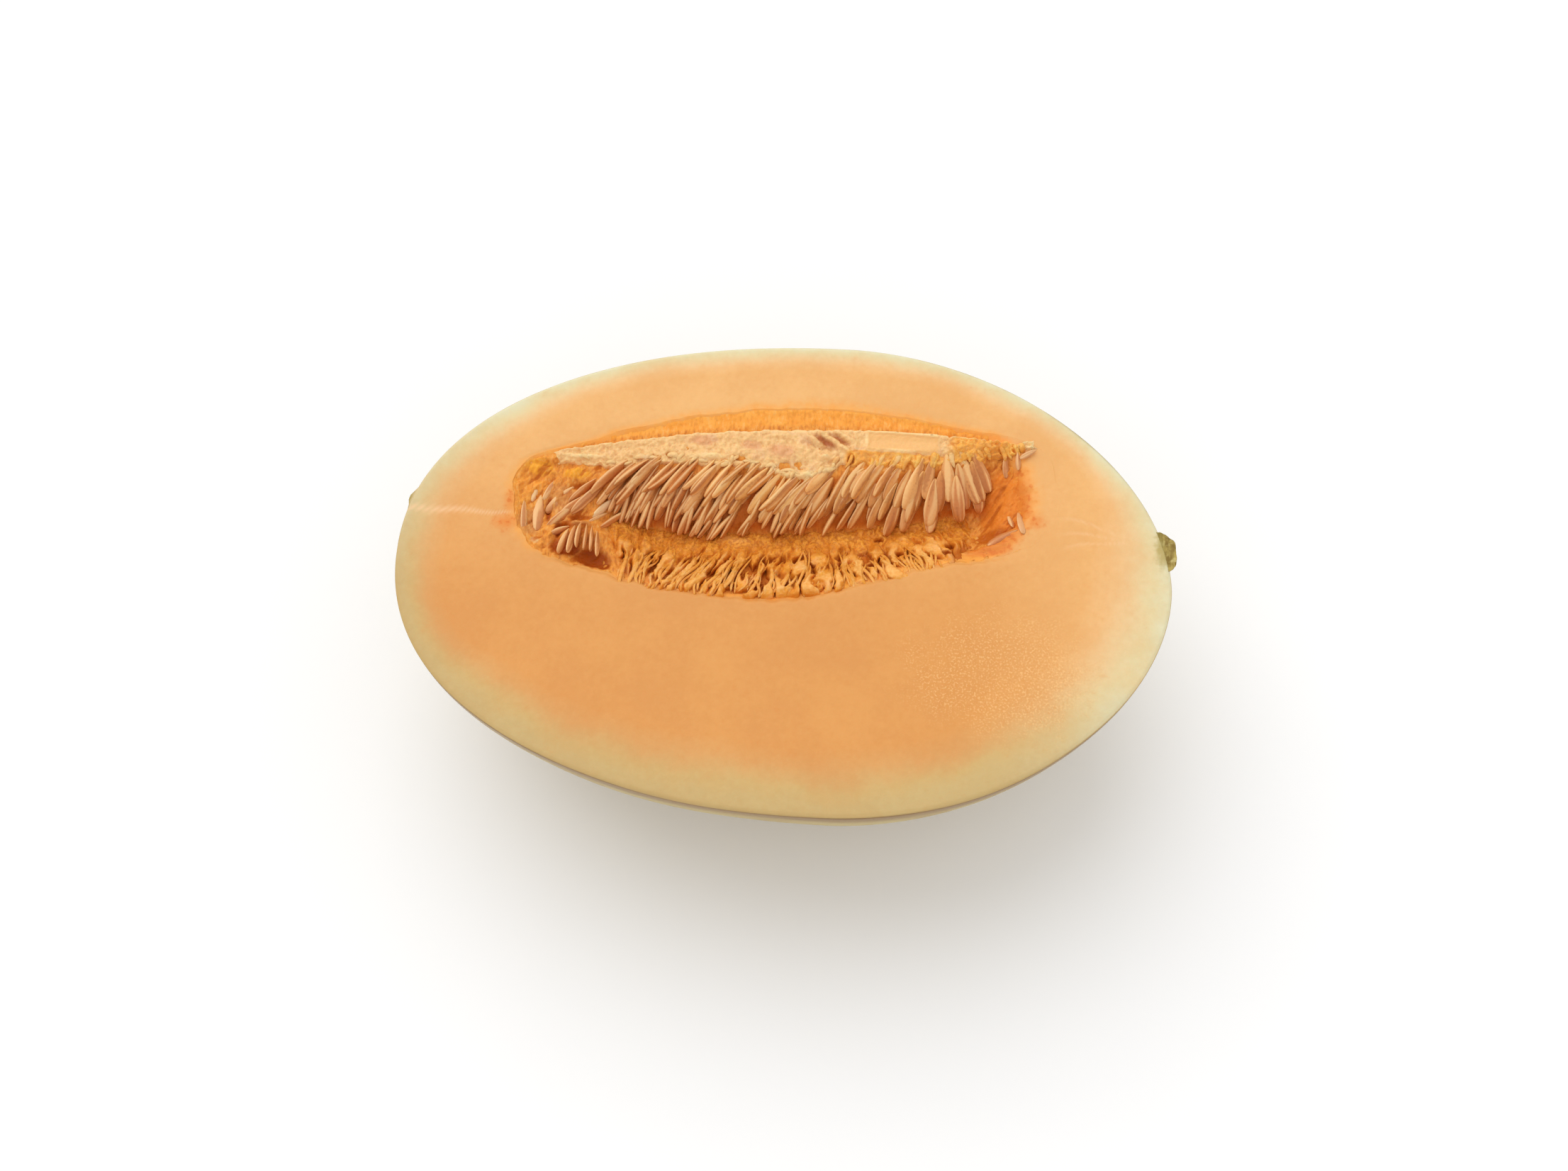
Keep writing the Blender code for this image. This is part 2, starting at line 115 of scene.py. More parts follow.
# How the curtain of seeds hangs from it: angles in degrees, lengths in mm
CURTAIN_X = (-36, -14, 0, 14, 26, 31, 34.5, 37.5, 43)
CURTAIN_LEAN = (40, 37, 34, 33, 26, 14, 0, -22, -24)
CURTAIN_TWIST = (9, 15, 24, 38, 54, 70, 88, 98, 96)
CURTAIN_PITCH = (1.7, 1.8, 1.95, 2.2, 2.6, 2.9, 3.1, 3.0, 2.9)
CURTAIN_JITTER = (12, 18, 26, 24, 14, 8, 5, 5, 5)
CURTAIN_FOOT = (12.0, 11.0, 11.8, 13.6, 14.4, 14.4, 14.4, 15.5, 18.6)
CURTAIN_GAPS = ((-18.6, 1.3), (13.6, 1.3))  # middle and reach


# ---- shapes ----


def smooth(value, low, high):
    """0 below low, 1 above high and an S-curve between."""
    t = min(1.0, max(0.0, (value - low) / (high - low)))
    return t * t * (3.0 - 2.0 * t)


def lerp(a, b, t):
    return a + (b - a) * t


def along(line, x):
    """The y of one of the filling's lines at x."""
    return line[0] + line[1] * x + line[2] * x * x


def bulge(share, bluntness):
    """How full a rounded end is: 1 in the middle, where share is 0, and 0 at its tip."""
    return max(0.0, 1.0 - abs(share) ** bluntness) ** (1.0 / bluntness)


def fruit_profile(x, peak_x):
    """How full the fruit is at x, from 0 at its ends to 1 at peak_x."""
    if x > peak_x:
        return bulge((x - peak_x) / (LENGTH / 2 - peak_x), STEM_BLUNTNESS)
    return bulge((x - peak_x) / (LENGTH / 2 + peak_x), BLOSSOM_BLUNTNESS)


def on_rind(direction, grow=0.0):
    """The point of the rind that lies in a direction from the middle of the fruit."""
    x = direction.x * LENGTH / 2
    across = math.hypot(direction.y, direction.z) or 1.0
    half_width = WIDTH / 2 * fruit_profile(x, WIDEST_X) / math.sqrt(1 - UNDERCUT**2)
    half_depth = (HEIGHT + FLAT_DEPTH) / (1 - UNDERCUT) * fruit_profile(x, DEEPEST_X)
    wave = UNEVENNESS * noise.noise(direction * 2.2)
    y = (half_width + wave) * direction.y / across
    z = HEIGHT + half_depth * (direction.z / across + UNDERCUT) - wave * (direction.z < 0)
    return Vector((x, y, z)) + direction * grow


def rind_direction(turn, share):
    """A direction below the cut: turn goes round, share from 0 underneath to 1 at the cut."""
    tilt = share * math.pi / 2
    x = math.sin(tilt) * math.cos(turn)
    y = math.sin(tilt) * math.sin(turn)
    across = math.hypot(y, math.cos(tilt))
    if across < 1e-6:
        return Vector((math.copysign(1.0, x), 0.0, 0.0))
    down = -UNDERCUT - (1 - UNDERCUT) * math.cos(tilt) / across
    side = math.copysign(math.sqrt(max(0.0, 1 - down * down)), y)
    return Vector((x, across * side, across * down))


def rim_point(turn):
    """The rim of the hollow as a closed Catmull-Rom curve. turn goes from 0 to 1."""
    count = len(HOLLOW_RIM)
    place = (turn % 1.0) * count
    index = int(place)
    t = place - index
    p0, p1, p2, p3 = (Vector(HOLLOW_RIM[(index + k) % count]) for k in (-1, 0, 1, 2))
    return 0.5 * (
        2 * p1 + (p2 - p0) * t + (2 * p0 - 5 * p1 + 4 * p2 - p3) * t**2
        + (3 * p1 - 3 * p2 + p3 - p0) * t**3
    )


def rim_angle(point):
    """How far round the hollow a point of its rim lies, with the hollow drawn out to a circle."""
    away = point - HOLLOW_MIDDLE
    return math.atan2(away.y / HOLLOW_REACH.y, away.x / HOLLOW_REACH.x)


OUTLINE_STEPS = 720
RIM_SAMPLES = [rim_point(step / OUTLINE_STEPS) for step in range(OUTLINE_STEPS)]
RIM_START = rim_angle(RIM_SAMPLES[0])
RIM_ANGLES = [(rim_angle(point) - RIM_START) % math.tau for point in RIM_SAMPLES] + [math.tau]


def rim_toward(turn):
    """The point of the hollow's rim that lies towards a turn of the fruit's outline."""
    angle = (turn - RIM_START) % math.tau
    low = min(bisect_right(RIM_ANGLES, angle), OUTLINE_STEPS) - 1
    start, end = RIM_ANGLES[low : low + 2]
    ahead = RIM_SAMPLES[(low + 1) % OUTLINE_STEPS]
    return RIM_SAMPLES[low].lerp(ahead, (angle - start) / (end - start))


def filling_depth(x, y):
    """How deep the pulp's surface lies below the cut face."""
    groove = lerp(LEFT_END_DEPTH, GROOVE_DEPTH, smooth(x, -46, -26))
    groove += (RIGHT_END_DEPTH - GROOVE_DEPTH) * smooth(x, 40, 58)
    hinge = lerp(LEFT_END_DEPTH, HINGE_DEPTH, smooth(x, -58, -44))
    back = along(CREST_BACK_LINE, x)
    knots = [
        (along(NEAR_RIM_LINE, x), NEAR_RIM_DEPTH),
        (along(GROOVE_LINE, x), groove),
        (along(HINGE_LINE, x), hinge),
        (0.5 * (along(HINGE_LINE, x) + back), CREST_DEPTH),
        (back, CREST_BACK_DEPTH),
        (back + FAR_BAND_WIDTH, FAR_BAND_DEPTH),
        (along(FAR_RIM_LINE, x), FAR_RIM_DEPTH),
    ]
    depth = knots[-1][1] if y > knots[-1][0] else knots[0][1]
    for (y0, d0), (y1, d1) in zip(knots, knots[1:]):
        if y0 < y <= y1:
            depth = lerp(d0, d1, smooth(y, y0, y1))
    ends = max(smooth(x, 51, 60.5), smooth(-x, 55, 61.5))
    return lerp(depth, END_RIM_DEPTH, ends)


def filling_point(x, y, raised=0.0):
    return Vector((x, y, HEIGHT - filling_depth(x, y) + raised))


def filling_normal(x, y):
    step = 0.8
    rise_x = (filling_depth(x - step, y) - filling_depth(x + step, y)) / (2 * step)
    rise_y = (filling_depth(x, y - step) - filling_depth(x, y + step)) / (2 * step)
    return Vector((-rise_x, -rise_y, 1.0)).normalized()


def cell(x, y, size, seed=0.0):
    """Rounded beads: 1 in the middle of each and 0 where two meet."""
    distances, _ = noise.voronoi(Vector((x / size, y / size, seed)))
    return min(1.0, (distances[1] - distances[0]) * 1.4)


def fuzz(x, y, size, seed=0.0, octaves=2):
    return noise.fractal(Vector((x / size, y / size, seed)), 0.9, 2.1, octaves)


def rim_wobble(point):
    """How far the torn rim of the hollow strays outwards from its smooth line, in mm."""
    near = smooth(-point.y, -12, 0)
    slow = fuzz(point.x, point.y, 9.0, 3.1) * (0.8 + 0.5 * smooth(-point.x, 46, 56))
    fine = fuzz(point.x, point.y, 1.9, 7.7) * (0.55 + 0.4 * smooth(-point.x, 46, 56))
    return slow + fine * lerp(0.4, 1.2, near)


def torn_rim(turn, reach=0.0):
    """The torn rim towards a turn of the outline, moved outwards by reach."""
    rim = rim_toward(turn)
    outward = (on_rind(rind_direction(turn, 1.0)).xy - rim).normalized()
    return rim + outward * (rim_wobble(rim) + reach)


def viewer_side(x, y):
    """1 along the viewer's side of the hollow, and 0 round its far side and its ends."""
    side = 1 - smooth(y - along(GROOVE_LINE, x), -9, -3)
    return side * smooth(x, -56, -48) * (1 - smooth(x, 44, 53))


def rim_drop(x, y):
    """How far the flesh has sunk where it meets the pulp."""
    return lerp(0.18, 1.1, viewer_side(x, y))


def distances_to(line, points):
    """The distance of each point from a line of points, in mm."""
    line = np.array([(p[0], p[1]) for p in line])
    points = np.array([(p[0], p[1]) for p in points])
    found = []
    for part in np.array_split(points, max(1, len(points) // 4000)):
        gaps = part[:, None, :] - line[None, :, :]
        found.extend(np.sqrt((gaps**2).sum(axis=2).min(axis=1)).tolist())
    return found


def hump(x, y, middle_x, middle_y, reach_x, reach_y):
    """1 in the middle of an oval patch, falling smoothly to 0 at its edge."""
    away = math.hypot((x - middle_x) / reach_x, (y - middle_y) / reach_y)
    return 1 - smooth(away, 0.0, 1.0)


def patched(x, y, patches):
    """The greatest hump at (x, y) of some patches, whose first four numbers are their places."""
    return max(hump(x, y, *patch[:4]) for patch in patches)


def lump_rise(x, y, lumps):
    """How high some oval lumps stand at (x, y), each with its rise after its place."""
    return sum(rise * hump(x, y, *place) for *place, rise in lumps)


def at(values, x, places=CURTAIN_X):
    """One of the curtain's values at x, or that of another curve known at some places."""
    for index in range(1, len(places)):
        if x < places[index]:
            share = (x - places[index - 1]) / (places[index] - places[index - 1])
            return lerp(values[index - 1], values[index], max(0.0, share))
    return values[-1]


def crest_front(x):
    """The y of the front edge of the pale crest, without its small lobes."""
    return along(HINGE_LINE, x) + at(FRONT_REACH, x, FRONT_X)


def down_near_wall(x, y):
    """0 in the groove under the seeds and 1 at the viewer's rim."""
    near, groove = along(NEAR_RIM_LINE, x), along(GROOVE_LINE, x)
    return (groove - y) / (groove - near)


def near_wall_reach(x, y):
    """Where the torn web hangs, from the blossom end to the stem end."""
    return smooth(x + 0.5 * (y - 2), -38, -34) * (1 - smooth(x, 38, 45))


def funnel_depth(x, y, inward, reach):
    """How deep the flesh has curved down at a distance inward from (x, y) on the rim.

    It curves gently, but steeply at the blossom end and over a broad shelf at the stem end.
    """
    share = (max(0.0, inward) / reach) ** (1 / WALL_SPREAD)
    blossom_end = smooth(-x, 34, 46) * (1 - smooth(y, 20, 26))
    depth = HOLLOW_DEPTH * share ** lerp(WALL_CURVE, STEEP_WALL_CURVE, blossom_end)
    shelf = 0.13 * inward + HOLLOW_DEPTH * share**1.2 * smooth(inward, SHELF, SHELF + 7)
    return lerp(depth, shelf, smooth(x, 44, 54))


def hollow_depth(x, y):
    """How deep what one sees lies in the hollow: the pulp, or the flesh where it is higher."""
    inward = min((point - Vector((x, y))).length for point in RIM_SAMPLES)
    reach = 60.0 if abs(x) > 40 else 24.0
    return min(filling_depth(x, y), rim_drop(x, y) + funnel_depth(x, y, inward, reach))


def add_layers(bm, names):
    return {name: bm.verts.layers.float.new(name) for name in names}


def set_marks(vert, layers, marks):
    """Stores at a point how much of each mark it has, from 0 to 1, for its material."""
    for name, value in marks.items():
        vert[layers[name]] = min(1.0, max(0.0, value))


def add_pod(bm, mesh_size, shape, layers, marks):
    """Adds a closed pod whose points are shape(down, around), down from 0 at its tip to 1.

    Its marks are numbers, or functions of down and around.
    """
    sides, rings = mesh_size
    made = bmesh.ops.create_uvsphere(bm, u_segments=sides, v_segments=rings, radius=1.0)
    for vert in made["verts"]:
        down = math.acos(max(-1.0, min(1.0, vert.co.z))) / math.pi
        around = math.atan2(vert.co.y, vert.co.x)
        vert.co = shape(down, around)
        for name, value in marks.items():
            vert[layers[name]] = value(down, around) if callable(value) else value


def pod_path(path, radius, flat=0.7):
    """The points of a strand along a path, round at both ends."""

    def shape(down, around):
        ahead = path(down + 0.02) - path(down - 0.02)
        axis = ahead.normalized()
        side = axis.cross(Vector((0, 0, 1))).normalized()
        over = side.cross(axis)
        full = radius(down) * math.sin(math.pi * down) ** 0.35
        return path(down) + (side * math.cos(around) + over * math.sin(around) * flat) * full

    return shape


def arch(down):
    """0 at both ends of a strand and 1 in its middle, also a little beyond its ends."""
    return math.sin(math.pi * min(1.0, max(0.0, down)))


def sheet(bm, mesh_size, names, place, thickness):
    """A soft sheet whose points and marks are place(u, v), closed a little below."""
    columns, rows = mesh_size
    bmesh.ops.create_grid(bm, x_segments=columns, y_segments=rows, size=1.0)
    layers = add_layers(bm, names)
    for vert in bm.verts:
        vert.co, marks = place((vert.co.x + 1) / 2, (vert.co.y + 1) / 2)
        set_marks(vert, layers, marks)
    border = [edge for edge in bm.edges if edge.is_boundary]
    made = bmesh.ops.extrude_edge_only(bm, edges=border)["geom"]
    lower = [item for item in made if isinstance(item, bmesh.types.BMVert)]
    bmesh.ops.translate(bm, verts=lower, vec=(0, 0, -thickness))
    under = [item for item in made if isinstance(item, bmesh.types.BMEdge)]
    bmesh.ops.contextual_create(bm, geom=under)
    return layers


def finish_piece(bm, name, materials, node):
    """Turns a bmesh in mm into a smooth piece of the melon, in the CAD model's frame."""
    bmesh.ops.translate(bm, verts=bm.verts, vec=FRAME_SHIFT)
    bmesh.ops.scale(bm, verts=bm.verts, vec=(MM, MM, MM))
    bmesh.ops.recalc_face_normals(bm, faces=bm.faces)
    mesh = bpy.data.meshes.new(name)
    bm.to_mesh(mesh)
    bm.free()
    for material in materials:
        mesh.materials.append(material)
    mesh.shade_smooth()
    piece = bpy.data.objects.new(name, mesh)
    bpy.context.scene.collection.objects.link(piece)
    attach(piece, "root")
    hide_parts(node)


# ---- materials ----


class Value:
    """A socket of a material's nodes. Arithmetic on it adds Math nodes."""

    def __init__(self, finish, socket):
        self.finish, self.socket = finish, socket

    def math(self, operation, *terms):
        settings = {"operation": operation}
        return self.finish.node("ShaderNodeMath", settings, dict(enumerate(terms)))

    def __add__(self, other):
        return self.math("ADD", self, other)

    def __radd__(self, other):
        return self.math("ADD", other, self)

    def __sub__(self, other):
        return self.math("SUBTRACT", self, other)

    def __rsub__(self, other):
        return self.math("SUBTRACT", other, self)

    def __mul__(self, other):
        return self.math("MULTIPLY", self, other)

    def __rmul__(self, other):
        return self.math("MULTIPLY", other, self)

    def between(self, low, high):
        """0 below low, 1 above high and an S-curve between."""
        settings = {"interpolation_type": "SMOOTHSTEP"}
        return self.finish.node("ShaderNodeMapRange", settings, {0: self, 1: low, 2: high})


class Finish:
    """A material in the making."""

    def __init__(self, name):
        self.material = bpy.data.materials.new(name)
        self.material.use_nodes = True
        self.tree = self.material.node_tree
        self.shader = self.tree.nodes["Principled BSDF"]

    def node(self, kind, settings=None, inputs=None, output=0):
        """Adds a node: its settings first, then the values or links of its sockets."""
        made = self.tree.nodes.new(kind)
        for name, value in (settings or {}).items():
            if name == "stops":
                self.set_stops(made.color_ramp, value)
            else:
                setattr(made, name, value)
        for key, value in (inputs or {}).items():
            self.feed(made.inputs[key], value)
        return Value(self, made.outputs[output])

    def set_stops(self, ramp, stops):
        while len(ramp.elements) < len(stops):
            ramp.elements.new(1.0)
        for element, (place, colour) in zip(ramp.elements, stops):
            element.position = place
            element.color = (*colour_of(colour), 1.0)

    def feed(self, socket, value):
        if isinstance(value, Value):
            self.tree.links.new(value.socket, socket)
        elif socket.type == "RGBA":
            socket.default_value = (*colour_of(value), 1.0)
        else:
            socket.default_value = value

    def place(self):
        return self.node("ShaderNodeTexCoord", output="Object")

    def marks(self, *names):
        """The marks stored at the piece's points."""
        kind = "ShaderNodeAttribute"
        return [self.node(kind, {"attribute_name": name}, output="Fac") for name in names]

    def noise(self, size_mm, detail=2.0, stretch=(1, 1, 1)):
        """Noise with patches of about size_mm, drawn out along the axes by stretch."""
        scale = tuple(1 / (size_mm * MM * factor) for factor in stretch)
        place = self.node("ShaderNodeMapping", None, {"Vector": self.place(), "Scale": scale})
        inputs = {"Vector": place, "Scale": 1.0, "Detail": detail}
        return self.node("ShaderNodeTexNoise", None, inputs)

    def mix(self, share, first, second, blend="MIX"):
        """Colour first where share is 0 and second where it is 1."""
        settings = {"data_type": "RGBA", "blend_type": blend}
        return self.node("ShaderNodeMix", settings, {0: share, 6: first, 7: second}, 2)

    def coats(self, body, *coats):
        """Lays coats of colour over a body colour, each a share and a colour."""
        for share, colour in coats:
            body = self.mix(share, body, colour)
        return body

    def ramp(self, value, stops):
        return self.node("ShaderNodeValToRGB", {"stops": stops}, {0: value})

    def bump(self, height, distance_mm):
        inputs = {"Height": height, "Distance": distance_mm * MM, "Strength": 1.0}
        return self.node("ShaderNodeBump", None, inputs)

    def done(self, **inputs):
        """Sets the shader's sockets, named in lower case with _ for a space."""
        for name, value in inputs.items():
            socket_name = name.replace("_", " ").title().replace("Ior", "IOR")
            self.feed(self.shader.inputs[socket_name], value)
        return self.material


def colour_of(colour):
    """A colour in the shader's linear numbers. Whole numbers are its levels on screen."""
    if isinstance(colour[0], float):
        return tuple(colour)
    levels = [level / 255 for level in colour]
    return tuple(v / 12.92 if v < 0.04045 else ((v + 0.055) / 1.055) ** 2.4 for v in levels)


def colour_setting(name, description, *levels):
    """A colour that a user may change, given by its levels on screen, 0 to 255."""
    return FloatVectorProperty(
        name=name, description=description, subtype="COLOR", default=colour_of(levels),
    )


def moist(weight):
    """The shader's values that let a little light into the flesh."""
    radius, scale = (1.0, 0.45, 0.2), 2 * MM
    return {"subsurface_weight": weight, "subsurface_radius": radius, "subsurface_scale": scale}


# ---- flesh ----


class FleshSettings(bpy.types.PropertyGroup):
    around: IntProperty(name="Steps round", description="Points round the outline", default=320)
    # inner and edge carry painted shade by the viewer; pale and pale_edge painted light elsewhere
    inner: colour_setting("Inner flesh", "Flesh by the viewer, inside the pale band", 231, 158, 76)
    pale: colour_setting("Pale flesh", "Flesh beyond the hollow and by the stem", 246, 186, 112)
    edge: colour_setting("Band", "The green-yellow band by the viewer", 206, 174, 112)
    pale_edge: colour_setting("Pale band", "The green-yellow band elsewhere", 232, 224, 184)
    rind: colour_setting("Rind", "The smooth skin", 180, 152, 92)


RIND_RINGS = 44
FACE_RINGS = 74
WALL_RINGS = 40
WALL_CROWDING = 2.2  # how closely the rings of the hollow's wall crowd at its rim
EDGE_ROUNDING = 0.6
EDGE_DROP = 0.35
PAINTED_SHADE_DEPTH = 9.0  # how far below the cut the rind is browner, as painted shade
SCAR_RISE = 0.9
SEAM_Y = 10.4
STEM_CREASES = (-16.0, -3.0, 9.0)  # the slopes of the creases by the stem, in degrees
PAINTED_GLINTS = (47.0, -22.0, 34.0, 24.0)  # the patch of flesh with painted glints: its middle and its reach
CREASES_MIDDLE = Vector((78.0, 11.6))  # where they fan out from
DEEP_AND_SHADED_PATCHES = [  # deep orange flesh by the hollow, partly painted shade at the stem end: middle, reach and strength
    (48.6, 20.5, 8.5, 13.0, 1.5), (46.0, 12.0, 9.0, 6.0, 1.3), (55.4, 15.0, 4.0, 3.6, 0.5),
    (-62.0, 8.2, 5.5, 4.0, 0.6), (-61.5, 13.0, 3.0, 7.0, 0.5), (45.0, 8.4, 8.5, 3.2, 1.3),
]


def band_width(x, y):
    """How wide the pale band under the rind is, in mm: broad by the viewer and at the stem."""
    near = smooth(-y, -12, 45)
    right = smooth(x, 25, 78) * (1 - smooth(y, -4, 30))
    left = smooth(-x, 45, 75) * (1 - near)
    return lerp(lerp(lerp(3.6, 8.8, near), 6.0, left), 12.0, right)


def glow(x, y, outward):
    """The deep orange round the hollow, at a distance outward from its rim."""
    far = smooth(y, 20, 34)
    left = smooth(-x, 52, 60)
    right = smooth(x, 45, 54)
    reach = lerp(0.9, 3.2 + 2.0 * hump(x, y, 8, 40, 26, 12), far)
    reach = lerp(lerp(reach, 4.5, left), -1.0, right)
    full = lerp(-0.35 * reach, -8.0, right)
    return 1 - smooth(outward, full, reach)


def deep_orange_and_shade(x, y):
    """How deep an orange the flesh has round the hollow: its own, and painted shade at the stem
    end.
    """
    return min(1.0, max(strength * hump(x, y, *place) for *place, strength in DEEP_AND_SHADED_PATCHES))


def stem_stain(x, y):
    """The corky olive stain of the cut face by the stem."""
    return hump(x, y, STEM.x + 0.6, STEM.y + 0.8, 4.6, 8.5)


def painted_light_share(x, y):
    """How pale the flesh is painted, as painted light: most beyond the hollow and at the stem end.
    """
    far = smooth(y, -16, 42)
    right = smooth(x, 36, 76) * smooth(y, -60, -14)
    return 1 - (1 - far) * (1 - right)


def crease(x, y):
    """The seam from the hollow to the blossom scar, and the few that fan out from the stem."""
    width = lerp(0.45, 1.0, smooth(-x, 62, 76))
    off_seam = abs(y - SEAM_Y - 0.25 * math.sin(x * 0.5))
    found = (1 - smooth(off_seam, 0.0, width)) * smooth(-x, 59, 64)
    away = CREASES_MIDDLE - Vector((x, y))
    if away.x > 0.5:
        slope = math.degrees(math.atan2(away.y, away.x))
        for lean in STEM_CREASES:
            line = 1 - smooth(abs(slope - lean - 2.0 * math.sin(away.x * 0.4)), 0.0, 2.4)
            found += 0.5 * line * smooth(away.x, 1, 4) * (1 - smooth(away.x, 12, 19))
    return min(1.0, found)


def scar_growth(point):
    """The knob that the flower left, as growth of the rind."""
    away = [(point[axis] - SCAR[axis]) / SCAR_SIZE[axis] for axis in range(3)]
    return 1 - smooth(math.hypot(*away), 0.2, 1.3)


def rind_point(turn, share):
    """A point of the rind, share from 0 underneath to 1 at the cut, and its marks."""
    direction = rind_direction(turn, share)
    scar = scar_growth(on_rind(direction))
    point = on_rind(direction, SCAR_RISE * scar)
    point.z = max(0.0, point.z) - EDGE_DROP * (share == 1)
    by_viewer = lerp(0.4, 1.0, smooth(-point.y, -10, 25))
    # painted shade: the rind is browner just under the cut, most by the viewer
    brink = (1 - smooth(HEIGHT - point.z, 0.0, PAINTED_SHADE_DEPTH)) * by_viewer
    return point, {"skin": 1.0, "scar": scar, "brink": brink}


def face_point(turn, share):
    """A point of the cut face, share from 0 at the rind to 1 at the hollow, and its marks."""
    outline = on_rind(rind_direction(turn, 1.0)).xy
    torn = torn_rim(turn)
    plan = outline.lerp(torn, share - 0.08 * math.sin(math.tau * share))
    to_edge, to_rim, seam = (outline - plan).length, (plan - torn).length, crease(*plan)
    z = HEIGHT + 0.10 * fuzz(*plan, 14.0, 1.3) + 0.05 * fuzz(*plan, 2.6, 9.3)
    z -= EDGE_ROUNDING * 0.7 * (1 - smooth(to_edge, -0.2, EDGE_ROUNDING * 1.4))
    sunk = 1 - smooth(to_rim, 0.0, lerp(3.4, 1.7, viewer_side(*plan)))
    z -= rim_drop(*plan) * sunk**1.2 + 0.16 * seam
    return Vector((*plan, z)), {
        "glow": glow(*plan, to_rim), "deep": deep_orange_and_shade(*plan), "scar": stem_stain(*plan),
        "light": painted_light_share(*plan), "seam": seam, "glint": hump(*plan, *PAINTED_GLINTS),
    }


def wall_point(turn, share):
    """A point of the hollow's wall, share from 0 at its rim to 1 in its middle, and its marks."""
    torn = torn_rim(turn)
    plan = torn.lerp(HOLLOW_MIDDLE, share)
    inward, reach, deep = (torn - plan).length, (torn - HOLLOW_MIDDLE).length, deep_orange_and_shade(*plan)
    depth = min(HOLLOW_DEPTH - 2.0, funnel_depth(*torn, inward, reach))
    rough = 0.9 * fuzz(*plan, 2.0, 4.7, 4)
    depth += rim_drop(*torn) + rough * deep * smooth(inward, 2.0, 6.0)
    marks = {"glow": glow(*plan, -inward), "light": painted_light_share(*plan), "deep": deep}
    return Vector((*plan, HEIGHT - depth)), marks


FLESH_MARKS = ("inward", "glow", "deep", "skin", "brink", "light", "seam", "glint", "scar")
WELL_INSIDE = 3.0  # counted as face points are, in widths of the pale band


def flesh_shape(around):
    """The half as one closed skin: the rind, the cut face, then the wall of the hollow."""
    bm = bmesh.new()
    rings = RIND_RINGS + FACE_RINGS + WALL_RINGS
    bmesh.ops.create_uvsphere(bm, u_segments=around, v_segments=rings, radius=1.0)
    layers = add_layers(bm, FLESH_MARKS)
    inward, face_verts = layers["inward"], []
    for vert in bm.verts:
        ring = round((1 - math.acos(max(-1.0, min(1.0, vert.co.z))) / math.pi) * rings)
        turn = math.atan2(vert.co.y, vert.co.x) % math.tau
        past_rind, past_face = ring - RIND_RINGS, ring - RIND_RINGS - FACE_RINGS
        if past_rind <= 0:
            vert.co, marks = rind_point(turn, ring / RIND_RINGS)
        elif past_face <= 0:
            vert.co, marks = face_point(turn, past_rind / FACE_RINGS)
            face_verts.append(vert)
        else:
            vert.co, marks = wall_point(turn, (past_face / WALL_RINGS) ** WALL_CROWDING)
            vert[inward] = WELL_INSIDE
        set_marks(vert, layers, marks)
    turns = (step / OUTLINE_STEPS * math.tau for step in range(OUTLINE_STEPS))
    outline = [on_rind(rind_direction(turn, 1.0)) for turn in turns]
    for vert, distance in zip(face_verts, distances_to(outline, [v.co for v in face_verts])):
        vert[inward] = distance / band_width(*vert.co.xy)
    for face in bm.faces:
        face.material_index = int(all(v[layers["skin"]] > 0.5 for v in face.verts))
    return bm


# The same flesh in painted shade by the viewer and in painted light beyond the hollow
SHADED_NEAR_TONES = [(211, 178, 114), (216, 177, 108), (221, 170, 99), (227, 163, 88)]
LIT_FAR_TONES = [(237, 216, 164), (242, 208, 152), (246, 202, 142), (247, 193, 126)]
TONE_PLACES = (0.0, 0.16, 0.3, 0.42, 0.56, 0.8)


def flesh_tones(finish, inward, edge, inner, between):
    """The flesh's colours from the rind inwards, inward counted in widths of the pale band."""
    return finish.ramp(inward * 0.45, list(zip(TONE_PLACES, [edge, *between, inner])))


